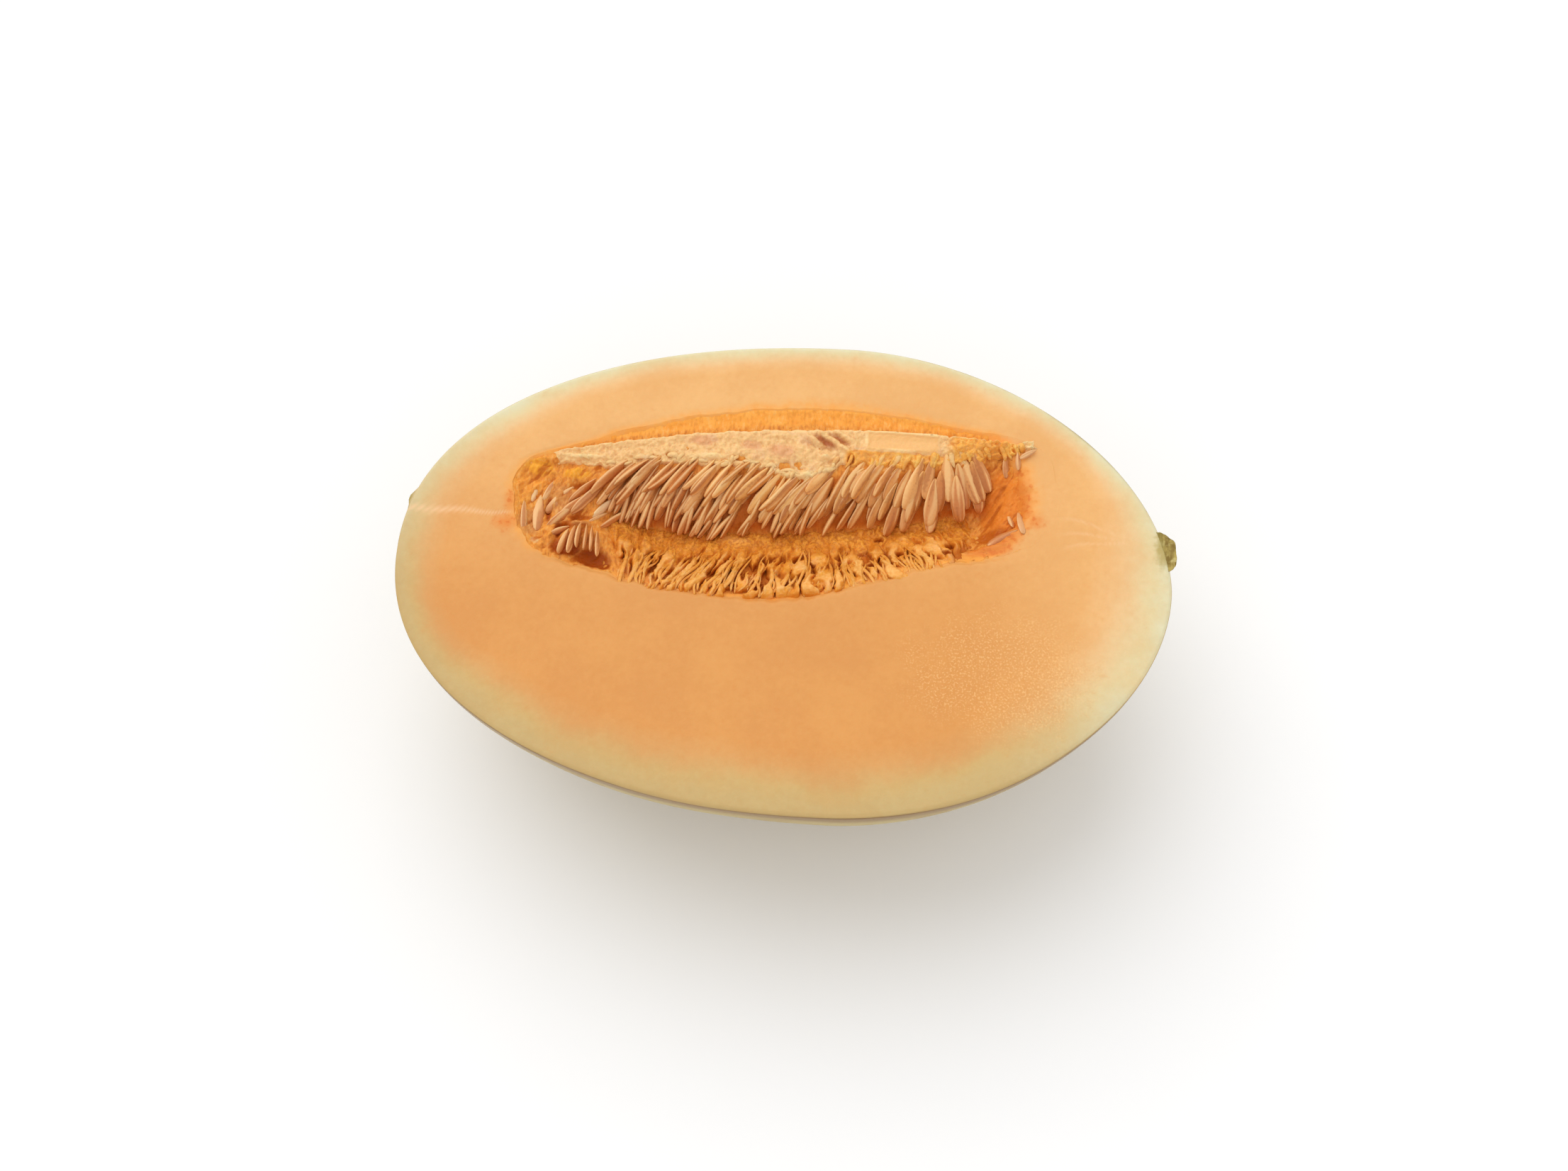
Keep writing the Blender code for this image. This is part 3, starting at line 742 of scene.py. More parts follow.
def flesh_material(settings):
    finish = Finish("flesh")
    inward, glowing, deepest_and_shaded, light, seam, glint, stain = finish.marks(
        "inward", "glow", "deep", "light", "seam", "glint", "scar",
    )
    patches, clouds = finish.noise(16.0, 3.0), finish.noise(5.0, 2.0)
    grain, speck = finish.noise(1.3, 3.0), finish.noise(0.45, 2.0)
    wander = inward + (patches - 0.5) * 0.7 + (clouds - 0.5) * 0.35
    near = flesh_tones(finish, wander, settings.edge, settings.inner, SHADED_NEAR_TONES)
    far = flesh_tones(finish, wander, settings.pale_edge, settings.pale, LIT_FAR_TONES)
    # painted light and shade: lighter tones beyond the hollow and at the stem end, darker by the
    # viewer
    body = finish.mix(light + (patches - 0.5) * 0.3, near, far)
    mottle = ((patches - 0.5) * 1.2 + (grain - 0.5) * 0.5 + 0.5).between(0.2, 0.8)
    body = finish.mix(
        1.0, body, finish.mix(mottle, (255, 255, 255), (247, 240, 230)), "MULTIPLY",
    )
    deep = finish.mix(finish.noise(2.2, 3.0), (250, 178, 84), (240, 152, 58))
    # deep orange: the flesh's own, and painted shade in the stem end of the hollow
    burnt_and_shaded = (deepest_and_shaded + (clouds - 0.5) * 0.4 + (grain - 0.5) * 0.4).between(0.05, 0.75)
    # where glints are painted on the flesh
    painted_glint_mask = (glint * 1.4 + (clouds - 0.5) * 1.2 + (patches - 0.5) * 0.6).between(0.2, 1.1)
    body = finish.coats(
        body,
        (0.08, (80, 124, 127)),
        ((glowing * (0.8 + (grain - 0.5) * 0.9)).between(0.05, 1.0), deep),
        (burnt_and_shaded, (228, 134, 48)),
        ((burnt_and_shaded * (grain - 0.5)).between(0.0, 0.12) * 0.6, (214, 108, 28)),
        (seam * 0.6, (250, 204, 156)),
        ((stain + (grain - 0.5) * 0.7).between(0.15, 0.8) * 0.8, (176, 154, 78)),
        # painted glints, with darker golden grain between them
        (painted_glint_mask * speck.between(0.52, 0.66) * 0.42, (255, 206, 138)),
        (painted_glint_mask * (1 - speck).between(0.52, 0.66) * 0.4, (222, 150, 66)),
    )
    return finish.done(
        base_color=body, roughness=0.42 + grain * 0.14, specular_ior_level=0.3,
        normal=finish.bump(grain * 0.5 + speck * 0.35, 0.12), **moist(0.1),
    )


def rind_material(settings):
    finish = Finish("rind")
    brink, scar = finish.marks("brink", "scar")
    blotch, fine = finish.noise(12.0, 4.0), finish.noise(1.0, 4.0)
    skin = finish.coats(
        settings.rind,
        (blotch.between(0.35, 0.68), (196, 174, 112)),
        (fine.between(0.62, 0.75) * 0.5, (158, 130, 74)),
        # painted shade under the cut edge
        ((brink + (blotch - 0.5) * 0.8).between(0.1, 0.9) * 0.85, (142, 104, 60)),
        (scar * 0.8, (128, 96, 60)),
    )
    return finish.done(
        base_color=skin, roughness=0.36 + fine * 0.12,
        normal=finish.bump(fine * 0.6 + blotch * 0.4, 0.15),
    )


class MELON_OT_flesh(bpy.types.Operator):
    """Makes the flesh with its rind, the cut face and the hollow"""

    bl_idname = "melon.flesh"
    bl_label = "Flesh and rind"

    def execute(self, context):
        settings = context.scene.melon_flesh
        materials = [flesh_material(settings), rind_material(settings)]
        finish_piece(flesh_shape(settings.around), "flesh", materials, "melon_half")
        return {"FINISHED"}


# ---- pulp ----


class PulpSettings(bpy.types.PropertyGroup):
    steps: IntProperty(name="Steps along", description="Points along the pulp", default=380)
    fibre: colour_setting("Torn pulp", "The torn golden pulp by the viewer", 240, 166, 74)
    pale: colour_setting("Pale pulp", "The few pale beads of pulp", 242, 194, 130)


PULP_ROWS = 140
RIGHT_FILL_DEPTH = 3.0  # how deep the pulp lies at the stem end
PULP_OVERLAP = 0.6  # how far the pulp runs under the flesh's torn rim, so that no gap shows
PULP_SHARES = (1.0, 0.97, 0.9, 0.75, 0.5, 0.25)  # of its width, from its rim downwards
PULP_BORDER_DROP = 0.3
UNDERSIDE_TOP = 3.0  # how far below the cut its hidden underside starts
UNDERSIDE_DEPTH = HOLLOW_DEPTH - 4.0
UNDERSIDE_STEP = 0.4  # how far each of its rings is drawn in, besides its share
PULP_KINDS = ("dark", "pale", "warm", "gold", "deep", "hole", "tan")
# The darker lumps, the holes and the deep lump at the stem end carry painted shade.
LUMPS = [  # x, y, reach along x and y, rise, kind
    (-55.8, 22.6, 4.8, 2.6, 1.6, "gold"), (-47.4, 21.4, 5.0, 1.9, 0.9, "gold"),
    (-55.3, 4.6, 1.6, 1.4, 1.0, "pale"), (35.4, 36.2, 2.0, 1.5, 0.9, "warm"),
    (-50.8, 16.4, 2.6, 2.6, 0.8, "warm"), (-55.8, 18.4, 2.4, 1.8, 0.8, "warm"),
    (-42.4, 1.3, 6.2, 4.2, -2.3, "hole"), (-48.6, 3.6, 5.6, 3.6, -1.6, "hole"),
    (-53.2, 13.2, 1.1, 4.6, -1.3, "hole"), (-39.6, -0.2, 2.2, 2.2, -0.6, "hole"),
    (-50.0, 15.0, 7.0, 6.0, 0.0, "tan"), (-57.0, 9.0, 4.0, 6.0, 0.0, "tan"),
    (-47.0, 9.8, 6.5, 1.1, 0.9, "tan"), (49.0, 11.6, 6.0, 3.0, -0.5, "tan"),
    (-46.4, 18.6, 4.0, 1.3, -1.2, "dark"), (-46.0, 11.4, 5.0, 1.3, -1.0, "dark"),
    (-50.5, 8.0, 1.5, 3.0, -1.2, "hole"), (40.5, 8.2, 5.0, 2.6, -0.8, "dark"),
    (44.0, 6.8, 6.5, 2.4, -0.6, "dark"), (-49.0, 9.0, 3.0, 1.6, -0.4, "dark"),
    (46.0, 13.0, 8.0, 4.0, -1.0, "dark"), (48.0, 21.0, 6.5, 11.0, -0.8, "deep"),
]


def pulp_point(x, y, edge):
    """A point of the pulp's surface, edge being its distance from the rim, and its kinds."""
    hinge, groove, back = (along(line, x) for line in (HINGE_LINE, GROOVE_LINE, CREST_BACK_LINE))
    wall = smooth(down_near_wall(x, y), -0.1, 0.2) * near_wall_reach(x, y)
    under = smooth(y, groove, groove + 2.5) * (1 - smooth(y, hinge - 2, hinge))
    under *= smooth(x, -39, -34) * (1 - smooth(x, 43, 49))
    bare = smooth(x, 46, 52) * (1 - smooth(y, hinge, hinge + 3))
    left = smooth(-x, 36, 44)
    right = smooth(x, 35, 41) * (1 - smooth(y, hinge - 1, hinge + 2))
    clots = fuzz(x - 0.7 * y, 0.4 * y, 2.0, 6.9, 3)
    beads = cell(x - 0.9 * y, 0.35 * (x + y), 1.1, 3.9)
    torn = max(left, right) * (0.7 * clots + 0.35 * beads)
    below_crest = 1 - smooth(y, crest_front(x) - 1.5, crest_front(x))
    rise = 0.35 * (1 - wall) * fuzz(x, y, 1.7, 2.9) - 1.1 * wall
    rise += torn * lerp(0.3, 1.0, below_crest) + 0.7 * left * below_crest
    rise += under * (1.2 * arch((y - groove) / 6.5) + 0.4 * fuzz(x, 0.5 * y, 1.6, 5.3))
    kinds = dict.fromkeys(PULP_KINDS, 0.0)
    # painted shade: the pulp darker on the near wall, under the seeds and between the clots
    kinds["dark"] = max(0.75 * wall, 0.8 * under, 0.8 * max(left, right) * smooth(-clots, 0.0, 0.5))
    kinds["warm"] = max(smooth(y, back + 0.2, back + 1.4), bare, 0.5 * smooth(-x, 50, 60))
    for *place, height, kind in LUMPS:
        patch = hump(x, y, *place)
        rise += height * patch
        kinds[kind] = max(kinds[kind], min(1.0, 1.4 * patch))
    near = viewer_side(x, y)
    inside = smooth(edge, 0.0, lerp(lerp(1.0, 2.0, smooth(abs(x), 40, 54)), 0.9, near))
    sunk = rim_drop(x, y) + lerp(0.28, 0.1, near) + 4.0 * smooth(x, 52, 55)
    filled = lerp(filling_depth(x, y), RIGHT_FILL_DEPTH, smooth(x, 43, 50))
    depth = lerp(sunk - 0.4 * torn, filled - rise, inside) + 3.0 * smooth(x, 52.5, 55)
    kinds["dark"] *= lerp(0.3, 1.0, inside)
    return Vector((x, y, HEIGHT - depth)), kinds


def span_of(rim, x):
    """The lowest and the highest y of a closed line of points at x."""
    found = []
    for a, b in zip(rim, rim[1:] + rim[:1]):
        if (a.x - x) * (b.x - x) <= 0 and a.x != b.x:
            found.append(lerp(a.y, b.y, (x - a.x) / (b.x - a.x)))
    return min(found), max(found)


def pulp_shape(steps):
    """The pulp's surface, closed underneath in the shape of the hollow."""
    bm = bmesh.new()
    bmesh.ops.create_grid(bm, x_segments=steps, y_segments=PULP_ROWS, size=1.0)
    layers = add_layers(bm, PULP_KINDS)
    turns = [step / (2 * OUTLINE_STEPS) * math.tau for step in range(2 * OUTLINE_STEPS)]
    rim = [torn_rim(turn, PULP_OVERLAP) for turn in turns]
    low, high = min(p.x for p in rim) + 0.05, max(p.x for p in rim) - 0.05
    spans = {}
    for vert in bm.verts:
        u, v = vert.co.x, vert.co.y
        x = lerp(low, high, (0.8 * u + 0.2 * math.sin(u * math.pi / 2) + 1) / 2)
        key = round(u, 5)
        if key not in spans:
            spans[key] = span_of(rim, x)
        vert.co = Vector((x, lerp(*spans[key], (v + 1) / 2), 0))
    edges = distances_to([torn_rim(turn) for turn in turns], [vert.co for vert in bm.verts])
    for vert, edge in zip(bm.verts, edges):
        outer = vert.is_boundary
        vert.co, kinds = pulp_point(vert.co.x, vert.co.y, 0.0 if outer else edge)
        vert.co.z -= PULP_BORDER_DROP * outer
        set_marks(vert, layers, kinds)
    border = [edge for edge in bm.edges if edge.is_boundary]
    for before, share in zip(PULP_SHARES, PULP_SHARES[1:]):
        made = bmesh.ops.extrude_edge_only(bm, edges=border)["geom"]
        border = [item for item in made if isinstance(item, bmesh.types.BMEdge)]
        for vert in {vert for edge in border for vert in edge.verts}:
            inner = vert.co.xy - HOLLOW_MIDDLE
            drawn_in = inner - inner.normalized() * UNDERSIDE_STEP
            vert.co.xy = HOLLOW_MIDDLE + drawn_in * share / before
            vert.co.z = HEIGHT - UNDERSIDE_TOP - UNDERSIDE_DEPTH * (1 - share**2.2) ** 0.55
    bmesh.ops.contextual_create(bm, geom=border)
    return bm


def pulp_material(settings):
    finish = Finish("pulp")
    dark, pale, warm, gold, deep, hole, tan = finish.marks(*PULP_KINDS)
    fine, broad = finish.noise(0.9, 3.0), finish.noise(4.0, 3.0)
    grain = finish.noise(1.0, 3.0, stretch=(0.6, 1.7, 1.0))
    glowing = finish.mix(broad, (252, 178, 82), (242, 148, 46))
    amber = finish.mix(fine, (252, 182, 62), (244, 160, 44))
    flecks = (grain - 0.5).between(0.0, 0.16) * (0.6 - warm * 0.35 - gold * 0.35)
    body = finish.coats(
        (222, 130, 46),
        ((fine - 0.5) * 1.8 + 0.5, settings.fibre),
        (warm, glowing),
        ((gold + (fine - 0.5) * 0.4).between(0.1, 0.8) * 0.9, amber),
        ((pale + (fine - 0.5) * 0.9).between(0.2, 0.9) * 0.8, settings.pale),
        ((tan + (broad - 0.5) * 1.2).between(0.1, 0.9) * 0.8, (206, 136, 74)),
        (flecks, (184, 104, 42)),
        ((0.46 - grain).between(0.0, 0.14) * 0.45, (244, 186, 108)),
        # painted shade in the hollow at the stem end
        ((deep + (fine - 0.5) * 0.3).between(0.0, 0.6) * 0.85, (228, 128, 42)),
        # painted shade: under the seeds, on the near wall and between clots
        ((dark + (fine - 0.5) * 0.4).between(0.2, 1.0), (192, 98, 24)),
        # painted shade in the holes
        ((hole + (fine - 0.5) * 0.3).between(0.1, 0.8), (170, 76, 14)),
    )
    return finish.done(
        base_color=body, roughness=0.4 + fine * 0.2, coat_weight=0.04, specular_ior_level=0.12,
        normal=finish.bump(fine, 0.25), **moist(0.15),
    )


class MELON_OT_pulp(bpy.types.Operator):
    """Makes the pulp that fills the hollow under the seeds"""

    bl_idname = "melon.pulp"
    bl_label = "Pulp"

    def execute(self, context):
        settings = context.scene.melon_pulp
        material = pulp_material(settings)
        finish_piece(pulp_shape(settings.steps), "pulp", [material], "seed_mass")
        return {"FINISHED"}


# ---- torn web ----


class WebSettings(bpy.types.PropertyGroup):
    strands: IntProperty(name="Strands", description="Loose strands on the web", default=90)
    strip: colour_setting("Strips", "The torn golden strips by the viewer", 244, 176, 94)
    # The gaps' colour is painted shade between the strips.
    gap: colour_setting("Gaps", "What shows deep between the strips", 182, 92, 22)


WEB_LEFT = -40.0
WEB_RIGHT = 46.0
WEB_MESH = (600, 100)  # points along it and down it
WEB_THICKNESS = 5.0
WEB_MARKS = ("gap", "top", "low")
STRAND_MESH = (6, 14)  # sides and rings
FIBRE_LEAN = math.tan(math.radians(24))
ROOT_PITCH = 2.6  # from one gathering of strands at the rim to the next, in mm
WALL_LUMPS = [  # x, y, reach along x and y, rise
    (29.7, 9.5, 5.0, 2.6, 1.6), (24.5, 10.5, 3.5, 2.6, 1.3), (34.5, 11.5, 4.0, 2.2, 1.0),
    (-36.0, 6.5, 3.0, 2.4, 1.2), (-33.0, 3.0, 1.6, 4.0, 0.9), (-10.5, 11.0, 7.0, 2.5, 0.5),
    (26.2, 13.1, 2.4, 1.6, 0.9), (15.0, 7.0, 2.0, 3.5, 0.8),
]
WALL_HOLES = [  # x, y, reach along x and y
    (25.7, 7.8, 1.5, 0.9), (36.3, 8.0, 1.7, 1.1), (19.7, 4.0, 2.0, 1.3), (21.0, 12.8, 1.4, 0.9),
    (-5.6, -3.6, 0.9, 2.2), (0.5, -2.6, 1.0, 1.5), (-8.8, 0.0, 0.7, 3.0), (10.6, 3.4, 0.7, 3.2),
]


def fibre_lean(x):
    """How the fibres on the near wall lean: their feet fan out towards both ends."""
    return FIBRE_LEAN * (0.8 - 1.6 * smooth(x, -20, 36)) * smooth(x, -36, -26)


def web_point(u, v):
    """A point of the torn web, and how deep in a gap, high on a strip and low down it is."""
    x = lerp(WEB_LEFT, WEB_RIGHT, u)
    near, groove = along(NEAR_RIM_LINE, x), along(GROOVE_LINE, x)
    y = lerp(near - 0.5 + 0.5 * fuzz(x, 0, 1.1, 8.2), groove + 3.0, v)
    down = down_near_wall(x, y)
    foot = x + fibre_lean(x) * (groove - y) + 1.3 * fuzz(x, y, 5.0, 4.4)
    foot += 0.35 * fuzz(x, y, 1.3, 2.4)
    broad = cell(foot, y * 0.22, 2.1, 1.7)
    slim = cell(foot, y * 0.3, 0.95, 6.2)
    loose = lerp(0.4, 1.0, smooth(down, 0.0, 0.45)) * (1 - 0.6 * smooth(down, 0.9, 1.03))
    torn = smooth(down, 0.1, 0.5) * smooth(fuzz(foot, y * 0.45, 2.4, 5.5), -0.5, 0.2)
    slit = (1 - smooth(broad, 0.0, 0.4)) * torn
    rise = 0.3 + loose * (1.35 * min(1.0, 1.5 * broad) ** 0.7 + 0.4 * slim)
    rise += 0.5 * fuzz(foot, 0.6 * y, 1.1, 1.9, 3) * (1 - smooth(down, 0.35, 0.7))
    calm = patched(x, y, WALL_LUMPS)
    rise = lerp(rise, 0.8, 0.85 * calm) + lump_rise(x, y, WALL_LUMPS)
    # gap is painted shade: in the slits and holes, along the upper edge and under the seeds at the
    # stem end
    gap = max(
        slit * (1 - calm), patched(x, y, WALL_HOLES) ** 0.7,
        0.5 * smooth(v, 0.88, 0.97) * (1 - smooth(x, 26, 32)),
        0.7 * smooth(x, 34, 40) * smooth(down, 0.35, 0.65),
    )
    rise -= 2.4 * gap + 0.9 * smooth(down, 0.97, 1.04)
    height = lerp(-1.2, rise, near_wall_reach(x, y) * (1 - smooth(v, 0.93, 1.0)))
    # top is partly the strips' own gold, partly painted light where they stand high
    top = lerp(min(1.0, 1.5 * broad) * loose + 0.3 * (slim - 0.5), 0.75, calm)
    return filling_point(x, y, height), {"gap": gap, "top": top, "low": smooth(down, 0.05, 0.5)}


def web_strand(x, top, foot_x, foot_y, lift, thick, sway, more):
    """The points of a strand that sways on its way from (x, top) to its foot."""

    def path(down):
        there_x = lerp(x, foot_x, down) + sway * arch(down) + more * math.sin(math.tau * down)
        return filling_point(there_x, lerp(top, foot_y, down), 0.4 + lift * arch(down) ** 0.8)

    return pod_path(path, lambda down: thick * lerp(0.7, 1.15, down))


def web_strands(draw, count):
    """Loose strands from beside the groove to the near rim, gathered at their feet."""
    for index in range(count):
        x = lerp(-36.0, 32.0, (index + draw.random()) / count)
        groove, near = along(GROOVE_LINE, x), along(NEAR_RIM_LINE, x)
        top = groove - draw.uniform(2.0, 11.0) * (groove - near) / 18.0
        foot_x = x - fibre_lean(x) * (top - near) * draw.uniform(0.4, 1.5)
        root = round(foot_x / ROOT_PITCH) * ROOT_PITCH + draw.uniform(-0.5, 0.5)
        foot_x = lerp(foot_x, root, draw.uniform(0.2, 0.9))
        foot_y = along(NEAR_RIM_LINE, foot_x) + draw.uniform(-0.7, 2.6)
        lift, thick = draw.uniform(0.2, 1.1), draw.uniform(0.22, 0.5)
        sway, more = draw.uniform(-1.6, 1.6), draw.uniform(-0.7, 0.7)
        yield web_strand(x, top, foot_x, foot_y, lift, thick, sway, more)


def web_material(settings):
    finish = Finish("web")
    gap, top, low = finish.marks(*WEB_MARKS)
    fine, broad = finish.noise(0.7, 3.0), finish.noise(3.5, 3.0)
    pink = (broad - 0.5) * 1.2 + (fine - 0.5) * 0.6
    brown = (1 - low) * (fine - 0.45).between(0.0, 0.12)
    body = finish.coats(
        (218, 130, 36),
        (broad.between(0.3, 0.7), (242, 164, 62)),
        # the high strips lighter: their own gold and painted light
        ((top * 0.9 + (fine - 0.5) * 0.9).between(0.3, 1.0), settings.strip),
        (brown * 0.6, (186, 100, 30)),
        ((low * pink).between(0.0, 0.3) * 0.6, (240, 176, 112)),
        # a painted highlight on the highest strips
        ((top + (fine - 0.5)).between(0.9, 1.4) * 0.6, (255, 206, 132)),
        # painted shade in the gaps
        ((gap + (fine - 0.5) * 0.3).between(0.1, 0.7), settings.gap),
    )
    return finish.done(
        base_color=body, roughness=0.38 + fine * 0.2, coat_weight=0.05, specular_ior_level=0.15,
        normal=finish.bump(fine, 0.2), **moist(0.12),
    )


class MELON_OT_web(bpy.types.Operator):
    """Makes the torn web on the wall by the viewer"""

    bl_idname = "melon.web"
    bl_label = "Torn web"

    def execute(self, context):
        settings = context.scene.melon_web
        bm = bmesh.new()
        layers = sheet(bm, WEB_MESH, WEB_MARKS, web_point, WEB_THICKNESS)
        marks = {"gap": 0.0, "top": lambda down, around: 0.4 + 0.5 * down, "low": 1.0}
        for shape in web_strands(random.Random(11), settings.strands):
            add_pod(bm, STRAND_MESH, shape, layers, marks)
        finish_piece(bm, "web", [web_material(settings)], "seed_mass")
        return {"FINISHED"}


# ---- crest ----


class CrestSettings(bpy.types.PropertyGroup):
    drips: IntProperty(name="Drips", description="Drips along the crest's front", default=30)
    threads: IntProperty(name="Threads", description="Loose threads on the crest", default=14)
    skin: colour_setting("Skin", "The pale skin that the seeds hang from", 247, 203, 138)
    amber: colour_setting("Amber", "The golden pulp towards the stem", 253, 192, 94)


CREST_LEFT = -57.0
CREST_RIGHT = 58.5
CREST_MESH = (560, 56)  # points along it and across it
CREST_THICKNESS = 1.5
CREST_MARKS = ("pale", "flap", "hole", "rosy", "amber")
DRIP_MESH = (8, 10)  # sides and rings
THREAD_MESH = (6, 10)
CREST_HOLES = [  # x, y, reach along x and y
    (-1.0, 25.9, 1.7, 1.5), (-26.9, 27.0, 1.4, 0.7), (-11.3, 27.1, 1.6, 0.7),
    (13.7, 28.3, 1.0, 1.5), (1.8, 26.6, 1.0, 0.6),
]
CREST_LUMPS = [  # x, y, reach along x and y, rise
    (8.0, 28.4, 2.5, 1.3, 1.1), (-17.6, 27.2, 5.5, 1.5, 0.7), (-46.0, 25.4, 10.0, 1.0, 0.5),
    (4.0, 24.2, 3.5, 1.3, 0.5),
]
SUNKEN_SEEDS = [(5.0, 32.4), (7.2, 33.9), (9.6, 32.4), (12.4, 33.4), (12.0, 30.6)]
SUNKEN_REACH = (4.2, 1.05)
SUNKEN_TURN = math.radians(-32)
# where shade is painted between the seeds under the crest's skin
SUNKEN_PATCH = (8.6, 32.4, 8.5, 3.8)
ROSY_PATCHES = [(-20.0, 31.0, 5.0, 2.0), (-2.0, 29.5, 5.0, 3.0), (-9.0, 30.5, 4.0, 2.0)]


def sunken_seed(x, y, middle_x, middle_y):
    """1 along the middle of a seed that lies under the skin of the crest, and 0 beside it."""
    across, ahead = math.sin(SUNKEN_TURN), math.cos(SUNKEN_TURN)
    away_x, away_y = x - middle_x, y - middle_y
    length = (away_x * ahead + away_y * across) / SUNKEN_REACH[0]
    width = (away_y * ahead - away_x * across) / SUNKEN_REACH[1]
    return 1 - smooth(math.hypot(length, width), 0.1, 1.0)


def crest_point(u, v):
    """A point of the crest, and its pale skin and painted highlight, flap, painted shade, rosy
    patch and amber.
    """
    x = lerp(CREST_LEFT, CREST_RIGHT, u)
    back = along(CREST_BACK_LINE, x)
    lobes = 0.8 * fuzz(x, 0, 2.6, 6.1) + 0.8 * (cell(x, 0, 3.0, 3.3) - 0.5)
    front = crest_front(x) - 0.4 + lobes * (1 + 0.4 * smooth(x, 18, 26))
    tip = smooth(x, 49.5, 53.0)
    y = lerp(front, max(front + 1.0 + 1.8 * tip, back + 0.35 * fuzz(x, 9, 5.0, 2.1)), v**1.25)
    flap = smooth(x, 16.6, 17.4) * (1 - smooth(x, 32.6, 33.6)) * smooth(y, 30.4, 31.2)
    hem = max(
        hump(x, y, 17.0, 33.0, 1.0, 3.4), (1 - smooth(abs(y - back + 0.6), 0.2, 0.9)) * flap,
        0.8 * hump(x, y, 24.5, 30.9, 9.0, 0.9),
    )
    hole = patched(x, y, CREST_HOLES) ** 0.7
    beads = 0.4 * cell(x, y, 2.3, 0.5) + 0.34 * fuzz(x, y, 0.9, 3.5, 3) + 0.4 * fuzz(x, y, 4.5, 1.1)
    beads += lump_rise(x, y, CREST_LUMPS)
    knots = 1.2 * cell(x, y, 1.9, 4.5) * smooth(x, 32, 38)
    lip = 1 - smooth(v, 0.05, 0.32)
    seed = max(sunken_seed(x, y, *place) for place in SUNKEN_SEEDS)
    rise = 0.35 + (1 - flap) * (beads + knots) + 0.35 * lip + 0.3 * flap + 0.4 * hem
    rise += 0.9 * seed + 0.4 * smooth(v, 0.7, 0.9) - 1.5 * hole
    ends = smooth(x, CREST_LEFT, -50) * (1 - smooth(x, 55, CREST_RIGHT))
    rounded = smooth(v, -0.02, 0.14) * (1 - smooth(v, 0.93, 1.0))
    # pale is the skin's cream, with painted highlight along its back edge and front lip
    pale = max(
        lip * (0.4 + 0.6 * cell(x, y, 1.6, 2.5)) * (1 - 0.6 * smooth(x, 10, 16)), hem,
        0.8 * smooth(v, 0.84, 0.95), patched(x, y, CREST_LUMPS), 0.5 * seed, tip,
    )
    amber = max(smooth(x, 32, 40), smooth(x, 10, 15) * (1 - smooth(y, 29.8, 31.0))) * (1 - tip)
    return filling_point(x, y, lerp(-0.9, rise, ends * rounded**0.5)), {
        "pale": pale, "flap": flap, "amber": amber,
        # painted shade in the holes and between the sunken seeds
        "hole": max(hole, 0.75 * (1 - seed) * hump(x, y, *SUNKEN_PATCH)),
        "rosy": patched(x, y, ROSY_PATCHES) * (1 - 0.7 * seed),
    }


def crest_drip(x, start, lean, length, thick, lift, bend):
    """The points of a drip that hangs from (x, start)."""

    def path(down):
        there_x = x - down * length * math.sin(lean) + bend * arch(down)
        there_y = start - down * length * math.cos(lean)
        return filling_point(there_x, there_y, lift * (1 - 0.4 * down) + 0.5 * arch(down))

    return pod_path(path, lambda down: thick * lerp(1.2, 0.6, down), 0.8)


def crest_drips(draw, count):
    """Drips of the pale skin that hang from its front edge between the seeds."""
    for index in range(count):
        x = lerp(-40.0, 53.0, ((index + draw.random()) / count) ** 0.6)
        lean = math.radians(at(CURTAIN_LEAN, x) * draw.uniform(0.5, 1.1) + draw.uniform(-12, 12))
        start = crest_front(x) + draw.uniform(1.4, 2.2)
        length = draw.uniform(2.4, 4.0)
        thick = draw.uniform(0.4, 0.7) * (1 + 0.2 * smooth(x, 18, 26))
        lift, bend = draw.uniform(0.1, 0.6), draw.uniform(-0.5, 0.5)
        amber = smooth(x, 6, 14) * draw.uniform(0.3, 1.0)
        yield crest_drip(x, start, lean, length, thick, lift, bend), amber


def crest_thread(x, y, turn, bend, length, thick):
    """The points of a thread that lies across (x, y)."""

    def path(down):
        reach, side = (down - 0.5) * length, bend * arch(down)
        there_x = x + reach * math.cos(turn) - side * math.sin(turn)
        there_y = y + reach * math.sin(turn) + side * math.cos(turn)
        there_y = min(there_y, along(CREST_BACK_LINE, there_x) - 0.5)
        return filling_point(there_x, there_y, 0.45 + 0.2 * arch(down))

    return pod_path(path, lambda down: thick)


def crest_threads(draw, count):
    """Loose threads of pale skin along the crest's front edge."""
    for index in range(count):
        x = lerp(-48.0, 10.0, (index + draw.random()) / count)
        y = crest_front(x) + draw.uniform(0.4, 1.1)
        turn, bend = draw.uniform(-0.25, 0.25), draw.uniform(-0.8, 0.8)
        length, thick = draw.uniform(2.5, 5.0), draw.uniform(0.45, 0.8)
        yield crest_thread(x, y, turn, bend, length, thick)


